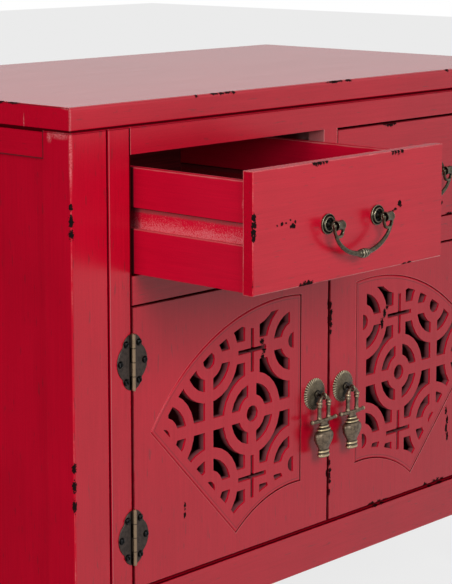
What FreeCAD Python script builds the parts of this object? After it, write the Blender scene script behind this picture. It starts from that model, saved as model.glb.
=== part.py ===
"""Red lacquered wedding cabinet: two drawers over two doors with fan-shaped fretwork.

Millimetres, +Z up. X runs across the front, Y runs from front to back, and the origin is on the
floor under the middle of the whole thing as it stands here, with its left drawer pulled out.
Left and right are those of someone who stands in front of it.
"""
import FreeCAD, Part
import math
import os
from types import SimpleNamespace

from FreeCAD import Placement, Rotation, Vector

# Driving dimensions: a name on the sheet, the size in millimetres, and what it is.
SIZES = (
    ("wide", 1000, "over the top board and the posts"),
    ("deep", 560, "over the top board"),
    ("high", 850, "floor to the top's face"),
    ("top_thick", 31, "top board"),
    ("top_front_round", 4.5, "top board's front edge"),
    ("top_side_round", 2, "top board's other edges"),
    ("gap_bevel", 2, "bevel that makes the shadow line under the top"),
    ("post_wide", 62, "post across the front"),
    ("post_deep", 50, "post along the side"),
    ("post_round", 2, "post's outer corner"),
    ("seam_bevel", 1.2, "bevels that make the fine seams"),
    ("stile_wide", 41, "stile between post and openings"),
    ("frame_thick", 28, "front frame, front to back"),
    ("rail_top_high", 36, "rail over the drawers"),
    ("drawer_open_high", 156.5, "height of the drawer openings"),
    ("rail_mid_high", 37.5, "rail between drawers and doors"),
    ("door_open_high", 380.5, "height of the door opening"),
    ("rail_low_high", 62, "rail under the doors"),
    ("divider_wide", 29.5, "divider between the drawers"),
    ("tenon_long", 20, "tenon at the end of a rail"),
    ("tenon_thick", 9, "tenon's thickness"),
    ("tenon_shoulder", 6, "step over and under a tenon"),
    ("side_rail_thick", 25, "rails of the sides and the back"),
    ("side_rail_back", 1, "side rail behind the post's face"),
    ("panel_thick", 10, "side panel"),
    ("panel_back", 5, "side panel behind the post's face"),
    ("groove_deep", 6, "how far a panel enters its groove"),
    ("back_thick", 8, "back panel"),
    ("back_in", 7, "back panel before the rear face"),
    ("floor_thick", 12, "cabinet floor"),
    ("floor_down", 8, "floor's face under the doors' opening"),
    ("shelf_thick", 14, "shelf"),
    ("shelf_up", 190, "shelf's face over the floor's face"),
    ("shelf_play", 2, "gap round the shelf"),
    ("cleat_wide", 20, "shelf cleat, across"),
    ("cleat_high", 22, "shelf cleat, height"),
    ("partition_thick", 18, "board between the drawers"),
    ("runner_high", 26, "drawer runner"),
    ("stop_high", 15, "door stop under the middle rail"),
    ("stop_thick", 9, "door stop, front to back"),
    ("stop_gap", 0.4, "gap from the closed door to its stop"),
    ("drawer_shown", 206, "how far the left drawer stands open"),
    ("drawer_side_play", 1, "gap beside a drawer's front"),
    ("drawer_top_play", 3, "gap over a drawer's front"),
    ("drawer_low_play", 1.5, "gap under a drawer's front"),
    ("drawer_front_thick", 16, "drawer front"),
    ("drawer_long", 480, "drawer, front to back"),
    ("drawer_side_thick", 12, "drawer side and back"),
    ("drawer_side_in", 4, "drawer side behind the end of its front"),
    ("drawer_side_down", 13.5, "drawer side's top under the front's top"),
    ("drawer_side_up", 2, "drawer side's foot over the front's foot"),
    ("drawer_back_down", 8, "drawer back's top under the side's top"),
    ("drawer_floor_thick", 6, "drawer bottom"),
    ("drawer_floor_up", 10, "drawer bottom over the side's foot"),
    ("drawer_groove_deep", 4, "how far the bottom enters the sides"),
    ("slot_down", 51, "runner slot under the side's top"),
    ("slot_high", 27.5, "runner slot's height"),
    ("slot_deep", 6, "runner slot's depth"),
    ("slot_play", 1, "gap from the runner's edge to the slot's floor"),
    ("bail_span", 99, "between the posts of a drawer handle"),
    ("bail_down", 79.5, "handle's pivot under the drawer front's top"),
    ("bail_drop", 41.3, "handle's pivot to the lowest of its bow"),
    ("bow_past", 5.5, "how far the bow's end lies past the middle of its post"),
    ("bow_bulge", 3, "how far the bow would swell past its ends at the height of its pivot"),
    ("bail_wire", 3, "radius of the bow"),
    ("bail_collar", 6.4, "radius of the swelling on the bow"),
    ("bail_pin", 1.4, "radius of the pivot pin"),
    ("bail_pin_out", 0.6, "how far that pin stands out of the fork"),
    ("bail_pin_play", 0.03, "least running gap round that pin"),
    ("pivot_out", 18.2, "handle's pivot before the drawer front"),
    ("drum_radius", 6.8, "head of a handle post"),
    ("drum_long", 13, "length of that head"),
    ("neck_radius", 3.6, "neck of a handle post"),
    ("fork_thick", 3, "prong and root of the fork at the bow's end"),
    ("fork_over", 3.5, "fork's prongs over the pivot"),
    ("fork_half_deep", 3.4, "half of the fork, front to back"),
    ("fork_play", 0.4, "gap from fork to head"),
    ("fork_clear", 5, "gap from the fork's root to the head"),
    ("fork_down", 16.5, "fork's foot under the pivot"),
    ("rosette_radius", 13.25, "disc behind a handle post"),
    ("rosette_rim", 2, "thickness at its rim"),
    ("rosette_ring", 9.5, "radius of its raised ring"),
    ("rosette_high", 4.2, "height of that ring"),
    ("rosette_well", 6.5, "radius of its hollow"),
    ("rosette_well_high", 2.6, "thickness in that hollow"),
    ("bolt_into", 9, "how far a handle post enters the wood"),
    ("door_thick", 18, "door"),
    ("door_side_play", 1.75, "gap at the hinge side, and half the gap between the doors"),
    ("door_end_play", 2.5, "gap over and under a door"),
    ("fret_thick", 12, "fretted panel"),
    ("fret_lip", 8, "ledge that carries the fretted panel"),
    ("fan_side", 62.5, "fan's straight side from the doors' meeting line"),
    ("fan_top_side", 100, "highest point of the outer bow from the meeting line"),
    ("fan_top_down", 33, "that point under the doors' opening's top"),
    ("fan_tip_in", 34.4, "fan's tip from the opening's hinge side"),
    ("fan_heel_side", 75, "highest point of the inner bow from the meeting line"),
    ("fan_heel_up", 76.8, "that point over the opening's foot"),
    ("fan_foot_up", 32.5, "fan's lowest corner over the opening's foot"),
    ("fret_border", 15.5, "plain band round the fretwork"),
    ("ring_side", 165, "middle ring from the meeting line"),
    ("ring_down", 186.3, "middle ring under the doors' opening's top"),
    ("ring_pitch_across", 87, "grid of rings, across"),
    ("ring_pitch_up", 89.5, "grid of rings, upright"),
    ("ring_radius", 58, "ring"),
    ("ring_slot_outer", 42.75, "outer edge of the slots in a ring"),
    ("ring_slot_inner", 26.75, "inner edge of the slots in a ring"),
    ("ring_eye", 11.5, "radius of the hole in a ring"),
    ("ring_flat", 0.4, "how far the flats of a ring may lie inside its circle"),
    ("bar_half", 8.25, "half of a narrow bar's width"),
    ("wide_bar_half", 15, "half of a wide bar's width"),
    ("plus_across", 28.5, "arm of a cross-shaped slot, across"),
    ("plus_up", 30.5, "arm of a cross-shaped slot, upright"),
    ("plus_half", 3.1, "half of the width of that slot"),
    ("least_hole", 5, "side of the smallest hole worth cutting"),
    ("hinge_in", 73.5, "hinge's middle from the end of the door's opening"),
    ("hinge_out", 3, "hinge's axis before the door"),
    ("leaf_thick", 1.5, "hinge leaf"),
    ("leaf_lobe", 27, "large lobe of a leaf"),
    ("leaf_end_lobe", 17, "small lobes of a leaf"),
    ("leaf_lobe_step", 20, "between those lobes' centres"),
    ("leaf_clear", 0.5, "gap from a leaf to the other's knuckles"),
    ("barrel_radius", 2.75, "hinge barrel"),
    ("knuckle_play", 0.4, "gap between knuckles"),
    ("pin_radius", 1.5, "hinge pin"),
    ("pin_play", 0.06, "running gap round that pin"),
    ("screw_head", 3.6, "hinge screw's head"),
    ("screw_high", 2.2, "how far that head stands out"),
    ("screw_far", 22, "middle screw from the hinge's axis"),
    ("screw_near", 11.5, "outer screws from the hinge's axis"),
    ("screw_up", 24.7, "outer screws from the middle one"),
    ("pull_side", 32, "pull from the doors' meeting line"),
    ("pull_down", 183.5, "pull under the doors' opening's top"),
    ("plate_radius", 23.2, "pull's plate"),
    ("plate_rim", 1.2, "thickness at its rim"),
    ("plate_rise", 6, "height of its dome"),
    ("notch_deep", 1.3, "notch in its rim"),
    ("eye_out", 18, "middle of the pull's eye before the door"),
    ("eye_radius", 5.5, "eye"),
    ("eye_hole", 2.6, "hole in the eye"),
    ("eye_thick", 3, "eye, across"),
    ("shank_radius", 2.4, "shank of the eye"),
    ("shank_into", 10, "how far that shank enters the door"),
    ("loop_wire", 2, "radius of the pendant's loop in the eye"),
    ("leg_wire", 3, "radius of that loop's legs"),
    ("loop_half", 10, "half of that loop's width"),
    ("bar_down", 35.5, "pendant's cross bar under its pivot"),
    ("bar_reach", 28.5, "half of that cross bar's length"),
    ("bar_wire", 3, "radius of that bar"),
    ("bar_curl", 1.5, "how far its ends turn up"),
    ("vase_wide", 37, "widest part of the pendant's vase"),
    ("vase_deep", 20, "that vase, front to back"),
    ("vase_long", 37, "that vase under its neck"),
    ("neck_long", 15.5, "neck from the cross bar to the vase"),
    ("bead_high", 3, "beads round that neck and the vase's foot"),
    ("past", 1, "how far a cut runs past the piece"),
)
NOTCH_COUNT = 40
# Small round pieces have this many flats: bores and screws, wires and knuckles, heads and vase,
# discs, hinge leaves.
BORE_SIDES = 6
WIRE_SIDES = 8
BARREL_SIDES = 10
DISC_SIDES = 14
LOBE_SIDES = 24
# Places along half of a bail's bow: share of its angle, and how far the radius swells there.
BOW_SHARES = ((0.0, 1.0), (0.1, 0.8), (0.17, 0.0), (0.37, 0.0), (0.55, 0.0), (0.7, 0.0), (0.85, 0.0), (1.0, 0.0))
# Places along a pendant's cross bar: share of its reach, and share of its radius.
BAR_SHARES = ((-1.0, 0.6), (-0.93, 1.0), (-0.8, 0.75), (0.0, 1.0), (0.8, 0.75), (0.93, 1.0), (1.0, 0.6))
# Steps round the arch of a pendant's loop.
ARCH_STEPS = 6
# The vase, from its neck down: share of its length, and share of its greatest width.
VASE_SHARES = ((0.05, 0.8), (0.14, 0.95), (0.28, 1.0), (0.52, 0.84), (0.8, 0.5))
# Beads round the neck and the foot: share of the neck or vase, and share of the greatest width.
NECK_BEADS = ((0.5, 0.52), (0.82, 0.68))
FOOT_BEADS = ((0.87, 0.58), (0.97, 0.6))
NECK_SHARE = 0.4
# The plate's dome: share of its radius, and share of its height.
DOME_SHARES = ((0.93, 0.2), (0.68, 0.7), (0.3, 1.0))
# The fan's tip as a share of the opening's height down, and its lowest corner as a share of its width.
FAN_TIP_SHARE = 0.4552
FAN_FOOT_SHARE = 0.4982

doc = FreeCAD.newDocument("wedding_cabinet")
sheet = doc.addObject("Spreadsheet::Sheet", "Sizes")


class Size:
    """A length or a place: its formula on the sheet, and the number that this gives now."""

    def __init__(self, formula, number):
        self.formula = formula
        self.number = number

    def _with(self, sign, other, number):
        return Size(f"({self.formula} {sign} {formula_of(other)})", number)

    def __add__(self, other):
        return self._with("+", other, self.number + number_of(other))

    def __sub__(self, other):
        return self._with("-", other, self.number - number_of(other))

    def __mul__(self, other):
        return self._with("*", other, self.number * number_of(other))

    def __truediv__(self, other):
        return self._with("/", other, self.number / number_of(other))

    def __neg__(self):
        return Size(f"(0 - {self.formula})", -self.number)


def formula_of(value):
    """The text that binds a property to this value."""
    return value.formula if isinstance(value, Size) else str(value)


def number_of(value):
    """The number that this value stands for now."""
    return value.number if isinstance(value, Size) else value


def filled_sheet():
    """Writes every size into the sheet and returns them by name."""
    for row, (alias, number, note) in enumerate(SIZES, start=1):
        sheet.set(f"A{row}", alias)
        sheet.set(f"B{row}", str(number))
        sheet.set(f"C{row}", note)
        sheet.setAlias(f"B{row}", alias)
    doc.recompute()
    return SimpleNamespace(**{alias: Size(f"Sizes.{alias}", sheet.get(alias)) for alias, _, _ in SIZES})


s = filled_sheet()
# The same sizes as plain numbers, for the shapes that are drawn as a whole.
n = SimpleNamespace(**{alias: float(sheet.get(alias)) for alias, _, _ in SIZES})

# Places that several pieces share.
LEFT = -s.wide / 2
FRONT = (s.drawer_shown + s.pivot_out + s.drum_radius - s.deep) / 2
REAR = FRONT + s.deep
UNDER_TOP = s.high - s.top_thick
DRAWER_TOP = UNDER_TOP - s.rail_top_high
DRAWER_LOW = DRAWER_TOP - s.drawer_open_high
DOOR_TOP = DRAWER_LOW - s.rail_mid_high
DOOR_LOW = DOOR_TOP - s.door_open_high
FRAME_LOW = DOOR_LOW - s.rail_low_high
POST_INNER = LEFT + s.post_wide
OPENING_LEFT = POST_INNER + s.stile_wide
OPENING_RIGHT = -s.divider_wide / 2
POST_BACK = FRONT + s.post_deep
REAR_POST = REAR - s.post_deep
BEHIND_FRAME = FRONT + s.frame_thick
FLOOR_FACE = DOOR_LOW - s.floor_down

TURNED = {
    "x": Rotation(Vector(0, 1, 0), 90),
    "y": Rotation(Vector(1, 0, 0), -90),
    "out": Rotation(Vector(1, 0, 0), 90),
    "z": Rotation(),
}
# How near counts as touching, when edges are picked by their place.
SAME_PLACE = 1e-4
SIDE_OF_BOX = {"left": ("XMin", "XMax"), "right": ("XMax", "XMin"), "front": ("YMin", "YMax"),
               "back": ("YMax", "YMin"), "low": ("ZMin", "ZMax"), "top": ("ZMax", "ZMin")}


def place(piece, spot):
    """Binds a piece's place to the sheet."""
    for axis, value in zip("xyz", spot):
        piece.setExpression(f"Placement.Base.{axis}", formula_of(value))
    return piece


def board(name, low, size):
    """A squared timber from its low corner."""
    box = doc.addObject("Part::Box", name)
    for side, length in zip(("Length", "Width", "Height"), size):
        box.setExpression(side, formula_of(length))
    return place(box, low)


def rod(name, start, radius, length, along):
    """A round bar from the middle of one end."""
    bar = doc.addObject("Part::Cylinder", name)
    bar.Placement = Placement(Vector(), TURNED[along])
    bar.setExpression("Radius", formula_of(radius))
    bar.setExpression("Height", formula_of(length))
    return place(bar, start)


def flat_rod(name, start, radius, length, along, sides=WIRE_SIDES):
    """A small bar with flats, from the middle of one end."""
    bar = doc.addObject("Part::Prism", name)
    bar.Polygon = sides
    bar.Placement = Placement(Vector(), TURNED[along])
    bar.setExpression("Circumradius", formula_of(radius))
    bar.setExpression("Height", formula_of(length))
    return place(bar, start)


def round_over(radius, sides=WIRE_SIDES):
    """The radius of a bar with flats that stands wholly outside a round one."""
    return radius / math.cos(math.pi / sides)


def joined(name, *pieces):
    """Pieces made one."""
    whole = doc.addObject("Part::MultiFuse", name)
    whole.Shapes = list(pieces)
    return whole


def grouped(name, *pieces):
    """Separate solids that share one name."""
    group = doc.addObject("Part::Compound", name)
    group.Links = list(pieces)
    return group


def cut(name, base, *tools):
    """A piece with others taken away from it."""
    rest = doc.addObject("Part::Cut", name)
    rest.Base = base
    rest.Tool = tools[0] if len(tools) == 1 else joined(f"{name}_cuts", *tools)
    return rest


def drawn(name, shape):
    """A piece whose shape is drawn with Part's own functions from the sheet's numbers."""
    piece = doc.addObject("Part::Feature", name)
    piece.Shape = shape
    return piece


def mirrored(name, source, back=None):
    """The right-hand twin of a left-hand piece, moved back by a given length."""
    twin = doc.addObject("Part::Mirroring", name)
    twin.Source = source
    twin.Normal = Vector(1, 0, 0)
    if back is not None:
        twin.setExpression("Placement.Base.y", formula_of(back))
    return twin


def edges_on(shape, *sides):
    """Numbers of the edges that lie wholly on all of the named sides of a shape's box."""
    found = []
    for number, edge in enumerate(shape.Edges, start=1):
        gaps = [getattr(edge.BoundBox, far) - getattr(shape.BoundBox, near)
                for near, far in (SIDE_OF_BOX[side] for side in sides)]
        if max(abs(gap) for gap in gaps) < SAME_PLACE:
            found.append(number)
    return found


def eased(name, base, kind, *wanted):
    """A piece with edges rounded or bevelled: each wanted entry is a size and edge numbers."""
    finish = doc.addObject(kind, name)
    finish.Base = base
    finish.Edges = [(number, amount, amount) for amount, numbers in wanted for number in numbers]
    return finish


def bevelled(name, base, *wanted):
    """A piece with bevels: each wanted entry is a size and a list of pairs of sides."""
    doc.recompute()
    return eased(name, base, "Part::Chamfer",
                 *((amount, [e for pair in pairs for e in edges_on(base.Shape, *pair)])
                   for amount, pairs in wanted))


def tenoned(name, low, size, along):
    """A rail with a tenon at each end; along is 0 for a rail across and 1 for one front to back."""
    body = board(f"{name}_body", low, size)
    across = 1 - along
    tenon_low = list(low)
    tenon_size = list(size)
    tenon_low[along] = low[along] - s.tenon_long
    tenon_size[along] = size[along] + s.tenon_long * 2
    tenon_low[across] = low[across] + (size[across] - s.tenon_thick) / 2
    tenon_size[across] = s.tenon_thick
    tenon_low[2] = low[2] + s.tenon_shoulder
    tenon_size[2] = size[2] - s.tenon_shoulder * 2
    return joined(name, body, board(f"{name}_tenons", tenon_low, tenon_size))


def loop_round(centre, across, up, sides=WIRE_SIDES):
    """Corners of an even polygon about a centre; its two directions carry its half widths."""
    turns = (math.tau * step / sides for step in range(sides))
    return [centre + across * math.cos(turn) + up * math.sin(turn) for turn in turns]


def flat_face(*corners):
    """A face between straight edges."""
    return Part.Face(Part.makePolygon([*corners, corners[0]]))


def patch(a, b, c, d):
    """One face between four corners, or two where they don't lie flat."""
    if abs((b - a).cross(c - a).dot(d - a)) < SAME_PLACE:
        return [flat_face(a, b, c, d)]
    return [flat_face(a, b, c), flat_face(a, c, d)]


def through(loops):
    """A solid through a row of loops of corners, with flat sides between them."""
    faces = [flat_face(*loops[0]), flat_face(*loops[-1])]
    for near, far in zip(loops, loops[1:]):
        for corners in zip(near, near[1:] + near[:1], far[1:] + far[:1], far):
            faces.extend(patch(*corners))
    solid = Part.makeSolid(Part.makeShell(faces))
    if solid.Volume < 0:
        solid.reverse()
    return solid


def stacked(foot, out, levels, sides=DISC_SIDES):
    """A turned form with flats: levels of radius and height along a direction."""
    across = Vector(0, 0, 1)
    up = out.cross(across)
    return through([loop_round(foot + out * high, across * radius, up * radius, sides)
                    for radius, high in levels])


def arc(start, middle, end):
    """An arc through three points."""
    return Part.Arc(start, middle, end).toShape()


def line(start, end):
    """A straight edge."""
    return Part.LineSegment(start, end).toShape()


# Case: posts, rails, panels, floor, shelf and top
def make_case():
    """The carcass; returns its pieces by name."""
    case = {}
    rail_y = LEFT + s.side_rail_back
    side_long = REAR_POST - POST_BACK
    side_top = tenoned("side_rail_top_left", (rail_y, POST_BACK, DRAWER_TOP),
                       (s.side_rail_thick, side_long, s.rail_top_high), 1)
    side_low = tenoned("side_rail_bottom_left_blank", (rail_y, POST_BACK, FRAME_LOW),
                       (s.side_rail_thick, side_long, s.rail_low_high), 1)
    across = (POST_INNER, -POST_INNER * 2)
    rear_y = REAR - s.side_rail_back - s.side_rail_thick
    rear_top = tenoned("rear_rail_top_blank", (POST_INNER, rear_y, DRAWER_TOP),
                       (across[1], s.side_rail_thick, s.rail_top_high), 0)
    rear_low = tenoned("rear_rail_bottom_blank", (POST_INNER, rear_y, FRAME_LOW),
                       (across[1], s.side_rail_thick, s.rail_low_high), 0)
    panel_low = DOOR_LOW - s.groove_deep
    panel_high = DRAWER_TOP + s.groove_deep - panel_low
    side_panel = board("side_panel_left", (LEFT + s.panel_back, POST_BACK - s.groove_deep, panel_low),
                       (s.panel_thick, side_long + s.groove_deep * 2, panel_high))
    back_panel = board("back_panel", (POST_INNER - s.groove_deep, REAR - s.back_in - s.back_thick, panel_low),
                       (across[1] + s.groove_deep * 2, s.back_thick, panel_high))
    floor_left = LEFT + s.side_rail_back + s.side_rail_thick - s.groove_deep
    floor_front = BEHIND_FRAME - s.groove_deep
    floor_back = rear_y + s.groove_deep
    floor_low = FLOOR_FACE - s.floor_thick
    floor_blank = board("floor_blank", (floor_left, floor_front, floor_low),
                        (-floor_left * 2, floor_back - floor_front, s.floor_thick))
    corners = []
    for tag, low_y, long_y in (("front", floor_front - s.past, POST_BACK - floor_front + s.past),
                               ("rear", REAR_POST, floor_back - REAR_POST + s.past)):
        for side, low_x in (("left", floor_left - s.past), ("right", -POST_INNER)):
            corners.append(board(f"floor_corner_{tag}_{side}", (low_x, low_y, floor_low - s.past),
                                 (POST_INNER - floor_left + s.past, long_y, s.floor_thick + s.past * 2)))
    floor_panel = cut("floor_panel", floor_blank, *corners)

    def post(name, low_y, bevels, *seats):
        blank = board(f"{name}_blank", (LEFT, low_y, 0), (s.post_wide, s.post_deep, UNDER_TOP))
        return cut(name, bevelled(f"{name}_eased", blank, *bevels), *seats)

    front_bevels = ((n.gap_bevel, (("front", "top"), ("left", "top"))),
                    (n.post_round, (("front", "left"),)),
                    (n.seam_bevel, (("front", "right"), ("left", "back"))))
    rear_bevels = ((n.gap_bevel, (("back", "top"), ("left", "top"))),
                   (n.post_round, (("back", "left"),)),
                   (n.seam_bevel, (("back", "right"), ("left", "front"))))
    case["post_front_left"] = post("post_front_left", FRONT, front_bevels, side_panel, side_top, side_low)
    case["post_rear_left"] = post("post_rear_left", REAR_POST, rear_bevels,
                                  side_panel, side_top, side_low, back_panel, rear_top, rear_low)
    case["side_rail_top_left"] = cut("side_rail_top_left_grooved", side_top, side_panel)
    case["side_rail_bottom_left"] = cut("side_rail_bottom_left", side_low, side_panel, floor_panel)
    case["side_panel_left"] = side_panel
    for name in list(case):
        case[name.replace("left", "right")] = mirrored(name.replace("left", "right"), case[name])
    case["rear_rail_top"] = cut("rear_rail_top", rear_top, back_panel)
    case["rear_rail_bottom"] = cut("rear_rail_bottom", rear_low, back_panel, floor_panel)
    case["back_panel"] = back_panel
    case["floor_panel"] = floor_panel
    case.update(make_front_frame(floor_panel))
    case.update(make_inside(rear_y))
    top_blank = board("top_blank", (LEFT, FRONT, UNDER_TOP), (s.wide, s.deep, s.top_thick))
    doc.recompute()
    shape = top_blank.Shape
    case["top_board"] = eased("top_board", top_blank, "Part::Fillet",
                              (n.top_front_round, edges_on(shape, "front", "top")),
                              (n.top_side_round, edges_on(shape, "left", "top") + edges_on(shape, "right", "top")
                               + edges_on(shape, "back", "top")))
    return case


def make_front_frame(floor_panel):
    """Stiles, rails and the divider between the drawers."""
    opening = -OPENING_LEFT * 2
    stile = board("stile_left_blank", (POST_INNER, FRONT, FRAME_LOW),
                  (s.stile_wide, s.frame_thick, UNDER_TOP - FRAME_LOW))
    stile = bevelled("stile_left_eased", stile, (n.gap_bevel, (("front", "top"),)),
                     (n.seam_bevel, (("front", "left"),)))
    rails = {
        "top_rail": tenoned("top_rail_blank", (OPENING_LEFT, FRONT, DRAWER_TOP),
                            (opening, s.frame_thick, s.rail_top_high), 0),
        "mid_rail": tenoned("mid_rail", (OPENING_LEFT, FRONT, DOOR_TOP),
                            (opening, s.frame_thick, s.rail_mid_high), 0),
        "bottom_rail": tenoned("bottom_rail_blank", (OPENING_LEFT, FRONT, FRAME_LOW),
                               (opening, s.frame_thick, s.rail_low_high), 0),
    }
    stile = cut("stile_left", stile, floor_panel, *rails.values())
    top_rail = bevelled("top_rail", rails["top_rail"], (n.gap_bevel, (("front", "top"),)))
    divider = board("drawer_divider", (OPENING_RIGHT, FRONT, DRAWER_LOW),
                    (s.divider_wide, s.frame_thick, s.drawer_open_high))
    return {
        "stile_left": stile,
        "stile_right": mirrored("stile_right", stile),
        "top_rail": top_rail,
        "mid_rail": rails["mid_rail"],
        "bottom_rail": cut("bottom_rail", rails["bottom_rail"], floor_panel),
        "drawer_divider": divider,
    }


def make_inside(rear_y):
    """The shelf on its cleats, the board between the drawers, their runners and the door stop."""
    panel_inner = LEFT + s.panel_back + s.panel_thick
    shelf_low = FLOOR_FACE + s.shelf_up - s.shelf_thick
    shelf_left = panel_inner + s.shelf_play
    shelf = board("shelf", (shelf_left, POST_BACK + s.shelf_play, shelf_low),
                  (-shelf_left * 2, REAR_POST - POST_BACK - s.shelf_play * 2, s.shelf_thick))
    cleat = board("shelf_cleat_left", (panel_inner, POST_BACK, shelf_low - s.cleat_high),
                  (s.cleat_wide, REAR_POST - POST_BACK, s.cleat_high))
    partition = board("drawer_partition", (-s.partition_thick / 2, BEHIND_FRAME, DRAWER_LOW),
                      (s.partition_thick, rear_y - BEHIND_FRAME, UNDER_TOP - DRAWER_LOW))
    slot = drawer_places()
    runner_low = slot.slot_low + (s.slot_high - s.runner_high) / 2
    outer = board("drawer_runner_outer", (POST_INNER, BEHIND_FRAME, runner_low),
                  (slot.side_left + s.slot_deep - s.slot_play - POST_INNER,
                   REAR_POST + s.post_deep - s.side_rail_thick - s.side_rail_back - BEHIND_FRAME, s.runner_high))
    inner_x = slot.side_right - s.slot_deep + s.slot_play
    inner = board("drawer_runner_inner", (inner_x, BEHIND_FRAME, runner_low),
                  (-s.partition_thick / 2 - inner_x, rear_y - BEHIND_FRAME, s.runner_high))
    pair = grouped("drawer_runner_pair", outer, inner)
    stop_y = FRONT + s.door_thick + s.stop_gap
    stop = board("door_stop", (OPENING_LEFT, stop_y, DOOR_TOP - s.stop_high),
                 (-OPENING_LEFT * 2, s.stop_thick, s.stop_high))
    return {
        "shelf": shelf,
        "shelf_cleats": grouped("shelf_cleats", cleat, mirrored("shelf_cleat_right", cleat)),
        "drawer_partition": partition,
        "drawer_runners": grouped("drawer_runners", pair, mirrored("drawer_runner_pair_right", pair)),
        "door_stop": stop,
    }


# Drawers, with their handles
def drawer_places():
    """Where the left drawer's pieces lie, pulled out as it is shown."""
    at = SimpleNamespace()
    at.face = FRONT - s.drawer_shown
    at.left = OPENING_LEFT + s.drawer_side_play
    at.right = OPENING_RIGHT - s.drawer_side_play
    at.top = DRAWER_TOP - s.drawer_top_play
    at.low = DRAWER_LOW + s.drawer_low_play
    at.side_left = at.left + s.drawer_side_in
    at.side_right = at.right - s.drawer_side_in
    at.side_top = at.top - s.drawer_side_down
    at.side_low = at.low + s.drawer_side_up
    at.slot_low = at.side_top - s.slot_down - s.slot_high
    at.box_front = at.face + s.drawer_front_thick
    at.end = at.face + s.drawer_long
    at.middle = (at.left + at.right) / 2
    at.pivot = (at.face - s.pivot_out, at.top - s.bail_down)
    return at


def make_drawer():
    """The left drawer's box and front; returns its pieces by name."""
    at = drawer_places()
    inside_left = at.side_left + s.drawer_side_thick
    inside_wide = at.side_right - at.side_left - s.drawer_side_thick * 2
    floor_low = at.side_low + s.drawer_floor_up
    bottom = board("drawer_left_bottom",
                   (inside_left - s.drawer_groove_deep, at.box_front - s.drawer_groove_deep, floor_low),
                   (inside_wide + s.drawer_groove_deep * 2, s.drawer_long - s.drawer_front_thick
                    + s.drawer_groove_deep, s.drawer_floor_thick))
    side_high = at.side_top - at.side_low
    box_long = s.drawer_long - s.drawer_front_thick
    sides = {}
    for name, low_x, slot_x in (("drawer_left_side_outer", at.side_left, at.side_left - s.past),
                                ("drawer_left_side_inner", at.side_right - s.drawer_side_thick,
                                 at.side_right - s.slot_deep)):
        blank = board(f"{name}_blank", (low_x, at.box_front, at.side_low),
                      (s.drawer_side_thick, box_long, side_high))
        slot = board(f"{name}_slot", (slot_x, at.box_front + s.past, at.slot_low),
                     (s.slot_deep + s.past, box_long, s.slot_high))
        sides[name] = cut(name, blank, slot, bottom)
    back_low = floor_low + s.drawer_floor_thick
    back = board("drawer_left_back", (inside_left, at.end - s.drawer_side_thick, back_low),
                 (inside_wide, s.drawer_side_thick, at.side_top - s.drawer_back_down - back_low))
    handle = make_handle(at)
    front = board("drawer_left_front_blank", (at.left, at.face, at.low),
                  (at.right - at.left, s.drawer_front_thick, at.top - at.low))
    front = bevelled("drawer_left_front_eased", front,
                     (n.seam_bevel, tuple(("front", side) for side in ("left", "right", "top", "low"))))
    return {
        "drawer_left_front": cut("drawer_left_front", front, bottom, handle["drawer_left_handle_posts"]),
        "drawer_left_back": back,
        "drawer_left_bottom": bottom,
        **sides,
        **handle,
    }


def make_handle(at):
    """Rosettes, and the posts that carry the bail."""
    pivot_y, pivot_z = at.pivot
    spots = {"left": at.middle - s.bail_span / 2, "right": at.middle + s.bail_span / 2}
    posts = []
    rosettes = []
    for side, x in spots.items():
        neck = flat_rod(f"handle_neck_{side}", (x, pivot_y, pivot_z), s.neck_radius,
                        s.pivot_out + s.bolt_into, "y")
        drum = flat_rod(f"handle_drum_{side}", (x - s.drum_long / 2, pivot_y, pivot_z),
                        s.drum_radius, s.drum_long, "x", BARREL_SIDES)
        bore = rod(f"handle_bore_{side}", (x - s.drum_long, pivot_y, pivot_z),
                   s.bail_pin + s.bail_pin_play, s.drum_long * 2, "x")
        posts.append(cut(f"handle_post_{side}", joined(f"handle_post_{side}_blank", neck, drum), bore))
        disc = drawn(f"rosette_{side}_disc", stacked(Vector(), Vector(0, -1, 0), (
            (n.rosette_radius, 0), (n.rosette_radius, n.rosette_rim), (n.rosette_ring, n.rosette_high),
            (n.rosette_well, n.rosette_well_high))))
        rosettes.append(cut(f"rosette_{side}", place(disc, (x, at.face, pivot_z)), neck))
    return {
        "drawer_left_rosettes": grouped("drawer_left_rosettes", *rosettes),
        "drawer_left_handle_posts": grouped("drawer_left_handle_posts", *posts),
    }


def make_bails():
    """The bail of each drawer, drawn where it hangs."""
    at = drawer_places()
    x = number_of(at.middle)
    y, z = (number_of(value) for value in at.pivot)
    return {
        "drawer_left_bail": drawn("drawer_left_bail", bail_shape(x, y, z)),
        "drawer_right_bail": drawn("drawer_right_bail", bail_shape(-x, y + n.drawer_shown, z)),
    }


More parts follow.
